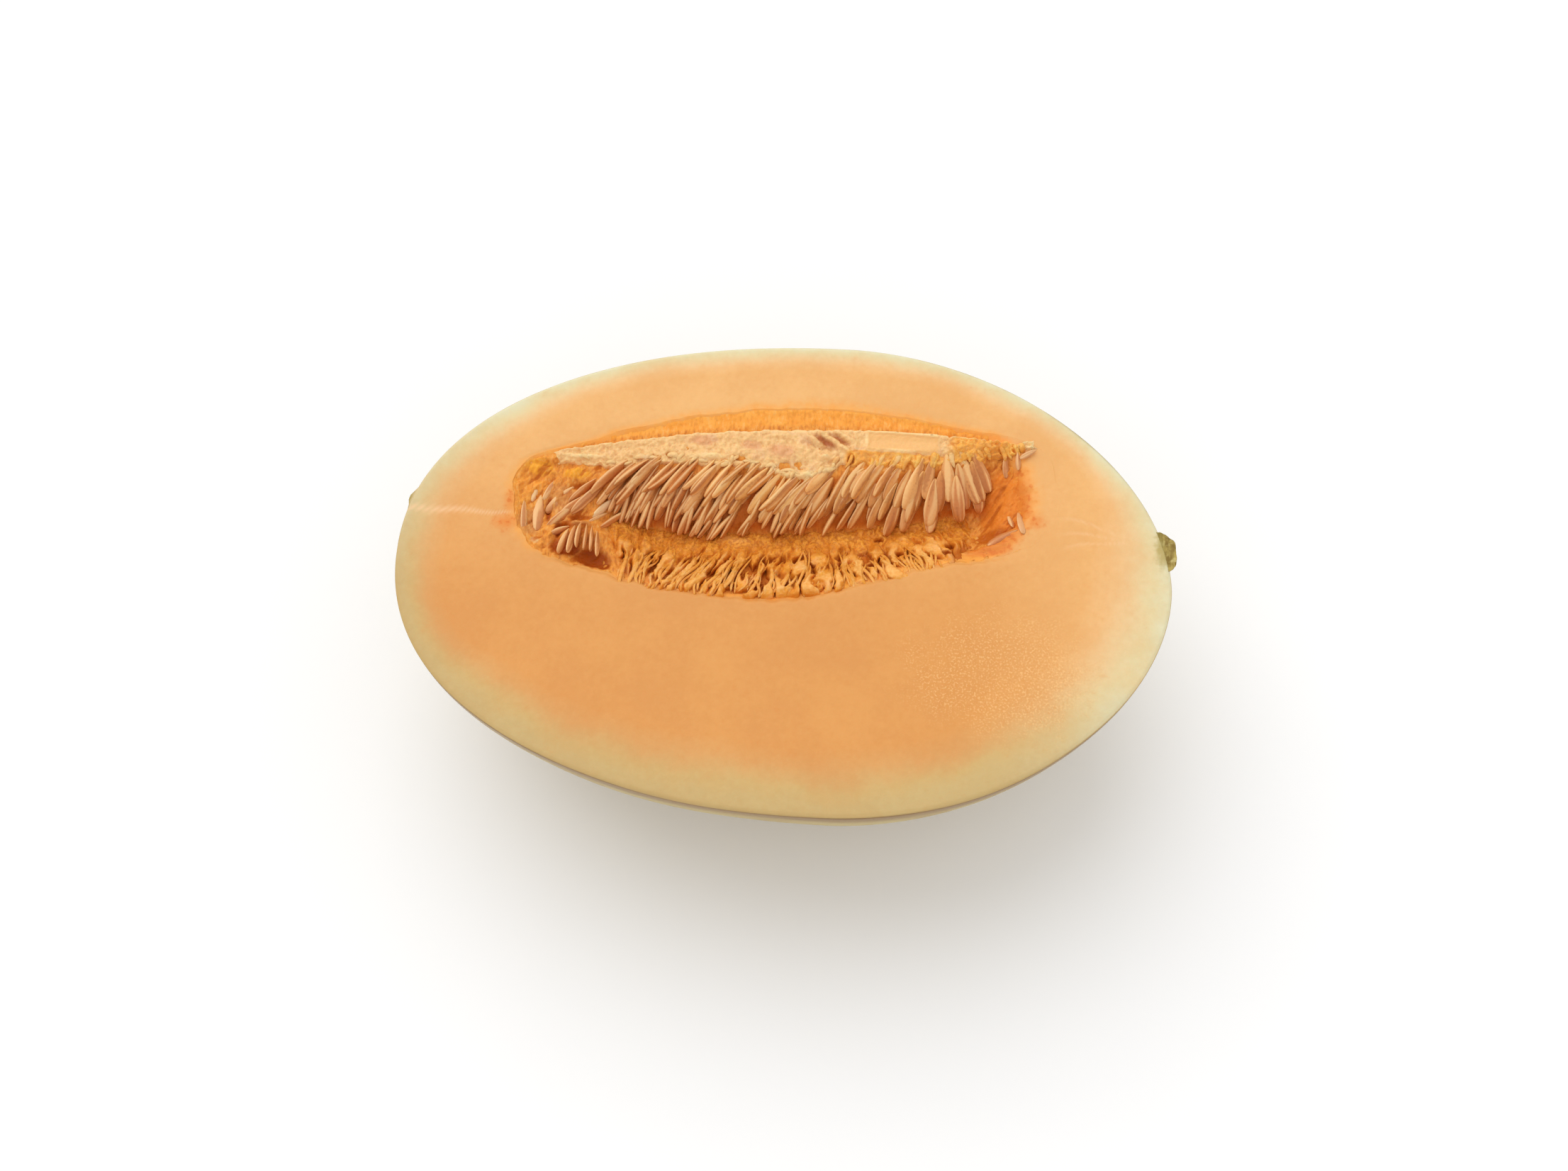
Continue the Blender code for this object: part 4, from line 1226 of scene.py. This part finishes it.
def crest_material(settings):
    finish = Finish("crest")
    pale, flap, hole, rosy, golden = finish.marks(*CREST_MARKS)
    fine, broad = finish.noise(0.8, 3.0), finish.noise(3.5, 3.0)
    cream = finish.coats(
        settings.skin,
        ((fine - 0.5) * 1.4 + 0.4, (232, 172, 104)),
        ((rosy + (broad - 0.5) * 1.2).between(0.05, 0.7) * 0.7, (226, 158, 108)),
        (broad.between(0.56, 0.66) * 0.5, (236, 190, 140)),
        (fine.between(0.52, 0.68) * 0.5, (220, 160, 100)),
        (flap * 0.9, (242, 184, 112)),
    )
    amber = finish.coats(
        (244, 166, 66),
        (fine.between(0.35, 0.65), settings.amber),
        ((broad + (fine - 0.5)).between(0.5, 0.62) * 0.45, (206, 116, 36)),
    )
    pits = (pale + (broad - 0.5) * 2.0).between(0.9, 1.2) * fine.between(0.55, 0.62)
    body = finish.coats(
        cream,
        ((golden + (broad - 0.5) * 0.8).between(0.3, 0.7), amber),
        # pale skin, with its painted highlight
        ((pale + (fine - 0.5) * 0.7).between(0.25, 1.1) * 0.7, (255, 222, 160)),
        (pits * 0.6, (170, 118, 62)),
        # painted shade in the holes and between the sunken seeds
        ((hole + (fine - 0.5) * 0.4).between(0.1, 0.7), (176, 92, 34)),
    )
    return finish.done(
        base_color=body, roughness=0.36 + fine * 0.15, coat_weight=0.1, specular_ior_level=0.32,
        normal=finish.bump(fine, 0.25), **moist(0.15),
    )


class MELON_OT_crest(bpy.types.Operator):
    """Makes the pale crest that the seeds hang from"""

    bl_idname = "melon.crest"
    bl_label = "Crest"

    def execute(self, context):
        settings = context.scene.melon_crest
        bm = bmesh.new()
        layers = sheet(bm, CREST_MESH, CREST_MARKS, crest_point, CREST_THICKNESS)
        for shape, amber in crest_drips(random.Random(5), settings.drips):
            marks = {"pale": lambda down, around: 0.5 * down, "amber": amber}
            add_pod(bm, DRIP_MESH, shape, layers, marks)
        for shape in crest_threads(random.Random(9), settings.threads):
            add_pod(bm, THREAD_MESH, shape, layers, {"pale": 0.5})
        finish_piece(bm, "crest", [crest_material(settings)], "seed_mass")
        return {"FINISHED"}


# ---- seeds ----


class SeedSettings(bpy.types.PropertyGroup):
    length: FloatProperty(name="Length", description="Length of a seed in mm", default=12.0)
    width: FloatProperty(name="Width", description="Width of a seed in mm", default=3.5)
    thickness: FloatProperty(name="Thickness", description="Thickness in mm", default=1.7)
    tiers: IntProperty(name="Tiers", description="Tiers of seeds in the curtain", default=4)
    shell: colour_setting("Shell", "Colour of the seeds", 214, 138, 62)
    light: colour_setting("Light shell", "Colour of the palest seeds", 248, 190, 110)


END_SEEDS = [  # middle x and y, lean, twist, size, tone, milkiness (one a painted highlight), lift
    (-58.4, 10.4, -4, 50, 0.7, 0.2, 0.15, 0.2), (-55.2, 11.8, 0, 62, 0.78, 0.2, 0.1, 0.3),
    (-56.4, 17.4, 14, 40, 0.5, 0.9, 0.5, 0.0), (-53.4, 17.8, 26, 40, 0.5, 0.2, 0.1, 0.0),
    (-50.9, 15.4, 42, 50, 0.72, 0.4, 0.1, -0.1), (-50.3, 11.4, 44, 40, 0.7, 0.1, 0.0, 0.1),
    (-48.2, 13.6, 44, 50, 0.66, 0.2, 0.0, 0.2), (-45.9, 17.6, 46, 30, 0.7, 0.1, 0.0, 0.2),
    # The milky seed at (-41.0, 14.3) stands for a painted highlight.
    (-44.5, 16.0, 43, 34, 0.9, 0.3, 0.1, 0.7), (-41.0, 14.3, 42, 50, 0.6, 0.9, 0.8, 0.4),
    (-42.4, 11.6, 50, 30, 0.5, 0.1, 0.1, 0.0), (-38.6, 12.6, 46, 36, 0.7, 0.1, 0.0, 0.1),
    (50.1, 16.2, -8, 30, 0.5, 0.4, 0.2, 0.1), (52.2, 15.0, -9, 40, 0.58, 0.5, 0.3, 0.2),
    (48.1, 11.3, 60, 60, 0.64, 0.0, 0.0, 0.0), (-50.3, 7.6, 58, 30, 0.42, 0.3, 0.1, 0.4),
    (53.4, 31.6, 60, 70, 0.36, 0.6, 0.4, 0.8), (51.2, 30.2, -4, 75, 0.36, 0.3, 0.2, 0.4),
    (48.6, 28.9, -8, 80, 0.42, 0.1, 0.1, 0.4),
]
LAST_TIER_END = 35  # the x up to which the tier nearest the viewer hangs
SEED_FAN_COUNT = 6
SEED_FAN_START = (-48.0, 9.4)
SEED_FAN_WIDTH = 6.2
SEED_FAN_SIZE = 0.6
SEED_MARKS = ("tone", "low", "milky", "tip", "rim", "streak")
SEED_MESH = (14, 12)  # sides and rings


def laid_down(x, y, lean, length, lifts, twist):
    """A frame whose -Z runs down from (x, y), its two ends lifted off what lies below."""
    near = filling_point(x, y, lifts[0])
    far = filling_point(x - length * math.sin(lean), y - length * math.cos(lean), lifts[1])
    axis = (far - near).normalized()
    normal = filling_normal(x, y)
    thin = Matrix.Rotation(twist, 3, axis) @ axis.cross(normal).normalized()
    wide = thin.cross(axis)
    return Matrix.Translation(near) @ Matrix((thin, wide, -axis)).transposed().to_4x4()


def curtain_seeds(draw, settings):
    """The tiers of seeds that hang from the crest, stacked on edge like cards."""
    for tier in reversed(range(settings.tiers)):
        share = tier / (settings.tiers - 1)
        x = CURTAIN_X[0] + share * CURTAIN_PITCH[0]
        while x < CURTAIN_X[-1]:
            jitter, here = at(CURTAIN_JITTER, x), x
            upright = lerp(lerp(0.35, 0.85, smooth(x, -26, -6)), 0.3, smooth(x, 24, 32))
            lean = at(CURTAIN_LEAN, x) * lerp(1.0, upright, share)
            lean += draw.uniform(-0.35, 0.35) * jitter + 9 * fuzz(x, tier, 9.0, 2.7)
            lean = math.radians(lean)
            twist = math.radians(at(CURTAIN_TWIST, x) + draw.uniform(-1.2, 1.2) * jitter)
            size = draw.uniform(0.82, 1.04) * lerp(1.0, 0.86, share)
            length = settings.length * size
            flat = smooth(at(CURTAIN_TWIST, x), 50, 80)
            lifts = 0.3 + 0.5 * flat, lerp(2.7, 1.3, share) + draw.uniform(-0.6, 0.8)
            top = crest_front(x) + 0.9
            foot = min(top, at(CURTAIN_FOOT, x) + 0.9 * length * math.cos(lean))
            y = lerp(top, foot, share) + draw.uniform(-0.8, 0.6)
            place = laid_down(x - (top - y) * math.tan(lean), y, lean, length * 0.9, lifts, twist)
            bend = draw.uniform(-0.7, 0.7), draw.uniform(-0.5, 0.5)
            shade = draw.random()
            x += at(CURTAIN_PITCH, x) * draw.uniform(0.8, 1.2)
            torn_away = tier == 0 and any(abs(here - gap) < reach for gap, reach in CURTAIN_GAPS)
            if not torn_away and (share < 1 or here < LAST_TIER_END):
                yield place, size, bend, (shade, share, 0.0)


def end_seeds(draw, settings):
    """The seeds round the two ends of the hollow and on the crest, and the small fan."""
    for x, y, lean, twist, size, tone, milky, lift in END_SEEDS:
        lean, twist = math.radians(lean), math.radians(twist)
        length = settings.length * size
        half_x, half_y = length / 2 * math.sin(lean), length / 2 * math.cos(lean)
        top, low = (x + half_x, y + half_y), (x - half_x, y - half_y)
        lift += 0.4 * smooth(-x, 36, 44)
        lifts = [filling_depth(*end) - hollow_depth(*end) + lift for end in (top, low)]
        place = laid_down(*top, lean, length, lifts, twist)
        yield place, size, (draw.uniform(-0.4, 0.4), 0.0), (tone, 0.5, milky)
    for step in range(SEED_FAN_COUNT):
        share = step / (SEED_FAN_COUNT - 1)
        lean = math.radians(14 - 19 * share**0.6)
        twist = draw.uniform(0.2, 0.7)
        x = SEED_FAN_START[0] + SEED_FAN_WIDTH * share
        y = SEED_FAN_START[1] - 7.0 * (share - 0.5) ** 2 + draw.uniform(-0.3, 0.3)
        size = SEED_FAN_SIZE + draw.uniform(-0.04, 0.05)
        place = laid_down(x, y, lean, settings.length * size, (1.9, 2.2), twist)
        yield place, size, (draw.uniform(-0.3, 0.3), 0.0), (draw.random(), 0.6, 0.0)


def seed_pod(place, size, bend, settings):
    """The points of a seed: a flat drop, pointed where it hangs and blunt at its free end."""
    half_width, half_thickness = settings.width / 2, settings.thickness / 2
    origin = place.translation

    def shape(down, around):
        full = math.sin(math.pi * down) ** 0.75 * lerp(0.5, 1.08, smooth(down, 0.0, 0.62))
        lens = math.cos(around) * abs(math.cos(around)) ** 0.35
        curve = arch(down)
        along_seed = (1 - math.cos(math.pi * down)) / 2 * settings.length
        rough = 0.16 * noise.noise(origin + Vector((math.cos(around), along_seed, 0)) * 0.5)
        local = Vector((
            lens * (half_thickness + rough) * full + bend[0] * curve,
            math.sin(around) * (half_width + rough) * full + bend[1] * curve,
            -along_seed,
        ))
        return place @ (local * size)

    return shape


def seed_marks(east, tone, low, milky):
    """The marks of a seed that hangs from a place so far east."""

    def streak(down, around):
        place = Vector((2.4 * math.sin(around), 1.3 * down, east + math.cos(around) * 0.3))
        return noise.noise(place)

    return {
        "tone": tone, "low": low, "milky": milky, "tip": lambda down, around: down,
        "rim": lambda down, around: abs(math.sin(around)), "streak": streak,
    }


def seeds_shape(settings):
    draw = random.Random(7)
    bm = bmesh.new()
    layers = add_layers(bm, SEED_MARKS)
    for place, size, bend, look in [*curtain_seeds(draw, settings), *end_seeds(draw, settings)]:
        marks = seed_marks(place.translation.x, *look)
        add_pod(bm, SEED_MESH, seed_pod(place, size, bend, settings), layers, marks)
    return bm


def seed_material(settings):
    finish = Finish("seeds")
    tone, low, milky, tip, rim, vein = finish.marks(*SEED_MARKS)
    streak, broad = finish.noise(0.7, 2.0), finish.noise(9.0, 2.0)
    place = finish.node("ShaderNodeSeparateXYZ", None, {0: finish.place()}, output="X")
    east = place + (broad - 0.5) * 0.02
    pinkish = 1 - east.between(-0.026, -0.01) + east.between(0.02, 0.034)
    rosy = finish.mix(tone + (streak - 0.5) * 0.6, (206, 128, 66), (232, 164, 104))
    dark_vein = (vein + (streak - 0.5) * 0.8).between(0.0, 0.35)
    shell = finish.coats(
        settings.shell,
        (tone * 0.8 + (streak - 0.5) * 0.6, settings.light),
        (pinkish * 0.6 + (1 - tone) * 0.2, rosy),
        ((1 - tip.between(0.02, 0.36)) * 0.7, (250, 190, 100)),
        (low * 0.45, (182, 96, 36)),
        (dark_vein * 0.6, (172, 94, 36)),
        ((-0.05 - vein).between(0.0, 0.3) * 0.6, (252, 204, 138)),
        # a painted highlight along the seeds' edges
        (rim.between(0.82, 0.99) * 0.55, (252, 204, 142)),
        # milky seeds, and one painted highlight
        (milky * (0.5 + streak * 0.6), (248, 214, 164)),
    )
    return finish.done(
        base_color=shell, roughness=0.34 + streak * 0.15, coat_weight=0.2, specular_ior_level=0.35,
        normal=finish.bump(streak, 0.12), **moist(0.1),
    )


class MELON_OT_seeds(bpy.types.Operator):
    """Makes the seeds that hang in the hollow and lie round its ends"""

    bl_idname = "melon.seeds"
    bl_label = "Seeds"

    def execute(self, context):
        settings = context.scene.melon_seeds
        material = seed_material(settings)
        finish_piece(seeds_shape(settings), "seeds", [material], "seed_mass")
        return {"FINISHED"}


# ---- stem ----


class StemSettings(bpy.types.PropertyGroup):
    radius: FloatProperty(name="Radius", description="Radius of the stub in mm", default=4.7)
    length: FloatProperty(name="Length", description="Length of the stub in mm", default=2.6)
    cork: colour_setting("Cork", "Colour of the stub", 182, 160, 88)


STEM_SIDES = 80
STEM_RINGS = 44
STEM_ROOT = 3.6  # how deep it starts in the flesh
STEM_TURN = math.radians(5)
STUB_BLUNTNESS = 5.0
STEM_SINK = 0.15  # how far its cut lies below the flesh, so that the flesh hides its root


def stem_shape(settings):
    """Half a ribbed corky stub, flared at its foot, blunt at its end and cut level."""
    bm = bmesh.new()
    bmesh.ops.create_uvsphere(bm, u_segments=STEM_SIDES, v_segments=STEM_RINGS, radius=1.0)
    foot = bm.verts.layers.float.new("foot")
    turn = Matrix.Rotation(STEM_TURN, 3, "Z")
    for vert in bm.verts:
        across = math.hypot(vert.co.x, vert.co.y)
        around = math.atan2(vert.co.y, vert.co.x)
        height = lerp(-STEM_ROOT, settings.length, (vert.co.z + 1) / 2)
        rib = 1 + 0.05 * math.cos(around * 9) + 0.10 * noise.noise(Vector((around, height, 3)))
        flare = 0.86 + 0.22 * (1 - smooth(height, -0.8, 1.6))
        radius = settings.radius * flare * rib * across ** (2 / STUB_BLUNTNESS)
        rough = 0.3 * noise.noise(Vector((2.0 * across, around * 1.5, 5.0))) * (height > 1.6)
        local = Vector((height + rough, radius * math.sin(around), radius * math.cos(around)))
        vert.co = STEM + turn @ local
        level = HEIGHT - STEM_SINK + 0.08 * noise.noise(vert.co * 1.4)
        vert.co.z = min(vert.co.z, level)
        vert[foot] = 1 - smooth(height, -0.6, 1.0)
    return bm


def stem_material(settings):
    finish = Finish("stem")
    (foot,) = finish.marks("foot")
    rib = finish.noise(1.0, 4.0, stretch=(1, 3, 3))
    blotch = finish.noise(2.2, 3.0)
    body = finish.coats(
        settings.cork,
        (rib.between(0.35, 0.65), (132, 108, 50)),
        (blotch.between(0.55, 0.7) * 0.7, (98, 76, 36)),
        ((0.46 - blotch).between(0.0, 0.12) * 0.6, (212, 196, 130)),
        ((foot + (rib - 0.5) * 0.8).between(0.3, 0.9) * 0.5, (140, 124, 62)),
    )
    return finish.done(
        base_color=body, roughness=0.7, specular_ior_level=0.2, normal=finish.bump(rib, 0.3),
    )


class MELON_OT_stem(bpy.types.Operator):
    """Makes the short corky stub of the stem"""

    bl_idname = "melon.stem"
    bl_label = "Stem"

    def execute(self, context):
        settings = context.scene.melon_stem
        material = stem_material(settings)
        finish_piece(stem_shape(settings), "stem", [material], "stem_stub")
        return {"FINISHED"}


# ---- stage ----


class StageSettings(bpy.types.PropertyGroup):
    lens: FloatProperty(
        name="Lens", description="Focal length of the camera", default=50.0, unit="CAMERA",
    )
    floor: FloatVectorProperty(
        name="Floor", description="Colour of the floor", subtype="COLOR",
        default=(0.96, 0.96, 0.96),
    )
    key: FloatProperty(
        name="Key light", description="Strength of the broad light behind", default=1.12,
    )
    fill: FloatProperty(
        name="Surroundings", description="Brightness of the room", default=0.81, min=0.0,
    )


CAMERA_PLACE = Vector((11.99, -197.28, 489.33))
CAMERA_AIM = Vector((0.5, -3.8, HEIGHT))
KEY_PLACE = Vector((-0.28, 0.42, 0.75))
KEY_SPREAD = math.radians(60)
SENSOR_WIDTH = 36.0
NEAREST = 0.01  # what is nearer to the camera isn't seen, in m
FLOOR_REACH = 3.0  # in m


def facing(place, aim):
    return (aim - place).to_track_quat("-Z", "Y").to_euler()


def add_to_scene(name, data, place, aim):
    item = bpy.data.objects.new(name, data)
    item.location = place
    item.rotation_euler = facing(place, aim)
    bpy.context.scene.collection.objects.link(item)
    return item


def add_floor(colour):
    bm = bmesh.new()
    bmesh.ops.create_grid(bm, x_segments=2, y_segments=2, size=FLOOR_REACH)
    mesh = bpy.data.meshes.new("floor")
    bm.to_mesh(mesh)
    bm.free()
    finish = Finish("floor")
    tone = finish.mix(finish.noise(40.0), colour, [level * 0.99 for level in colour])
    mesh.materials.append(finish.done(base_color=tone, roughness=0.9, specular_ior_level=0.0))
    floor = bpy.data.objects.new("floor", mesh)
    bpy.context.scene.collection.objects.link(floor)


class MELON_OT_stage(bpy.types.Operator):
    """Makes the floor, the lights and the camera"""

    bl_idname = "melon.stage"
    bl_label = "Floor, lights and camera"

    def execute(self, context):
        scene = context.scene
        settings = scene.melon_stage
        add_floor(settings.floor)
        world = bpy.data.worlds.new("room")
        world.use_nodes = True
        background = world.node_tree.nodes["Background"]
        background.inputs["Color"].default_value = (1.0, 1.0, 1.0, 1.0)
        background.inputs["Strength"].default_value = settings.fill
        scene.world = world
        key = bpy.data.lights.new("key", "SUN")
        key.energy = settings.key
        key.angle = KEY_SPREAD
        add_to_scene("key", key, KEY_PLACE, Vector((0, 0, 0)))
        camera = bpy.data.cameras.new("camera")
        camera.lens = settings.lens
        camera.sensor_width = SENSOR_WIDTH
        camera.sensor_fit = "HORIZONTAL"
        camera.clip_start = NEAREST
        place, aim = (CAMERA_PLACE + FRAME_SHIFT) * MM, (CAMERA_AIM + FRAME_SHIFT) * MM
        scene.camera = add_to_scene("camera", camera, place, aim)
        scene.view_settings.view_transform = "Standard"
        return {"FINISHED"}


# ---- panel ----


class MELON_PT_panel(bpy.types.Panel):
    """Lists the pieces of the melon"""

    bl_idname = "MELON_PT_panel"
    bl_label = "Melon Half"
    bl_space_type = "VIEW_3D"
    bl_region_type = "UI"
    bl_category = "Melon"

    def draw(self, context):
        for operator in OPERATORS:
            self.layout.operator(operator.bl_idname)


SETTINGS = {
    "melon_flesh": FleshSettings,
    "melon_pulp": PulpSettings,
    "melon_web": WebSettings,
    "melon_crest": CrestSettings,
    "melon_seeds": SeedSettings,
    "melon_stem": StemSettings,
    "melon_stage": StageSettings,
}
OPERATORS = [
    MELON_OT_flesh, MELON_OT_pulp, MELON_OT_web, MELON_OT_crest, MELON_OT_seeds,
    MELON_OT_stem, MELON_OT_stage,
]


def register():
    for item in [*SETTINGS.values(), *OPERATORS, MELON_PT_panel]:
        bpy.utils.register_class(item)
    for name, item in SETTINGS.items():
        setattr(bpy.types.Scene, name, PointerProperty(type=item))


def unregister():
    for name in SETTINGS:
        delattr(bpy.types.Scene, name)
    for item in reversed([*SETTINGS.values(), *OPERATORS, MELON_PT_panel]):
        bpy.utils.unregister_class(item)


def main():
    register()
    bpy.ops.melon.flesh()
    bpy.ops.melon.pulp()
    bpy.ops.melon.web()
    bpy.ops.melon.crest()
    bpy.ops.melon.seeds()
    bpy.ops.melon.stem()
    bpy.ops.melon.stage()


if __name__ == "__main__":
    main()
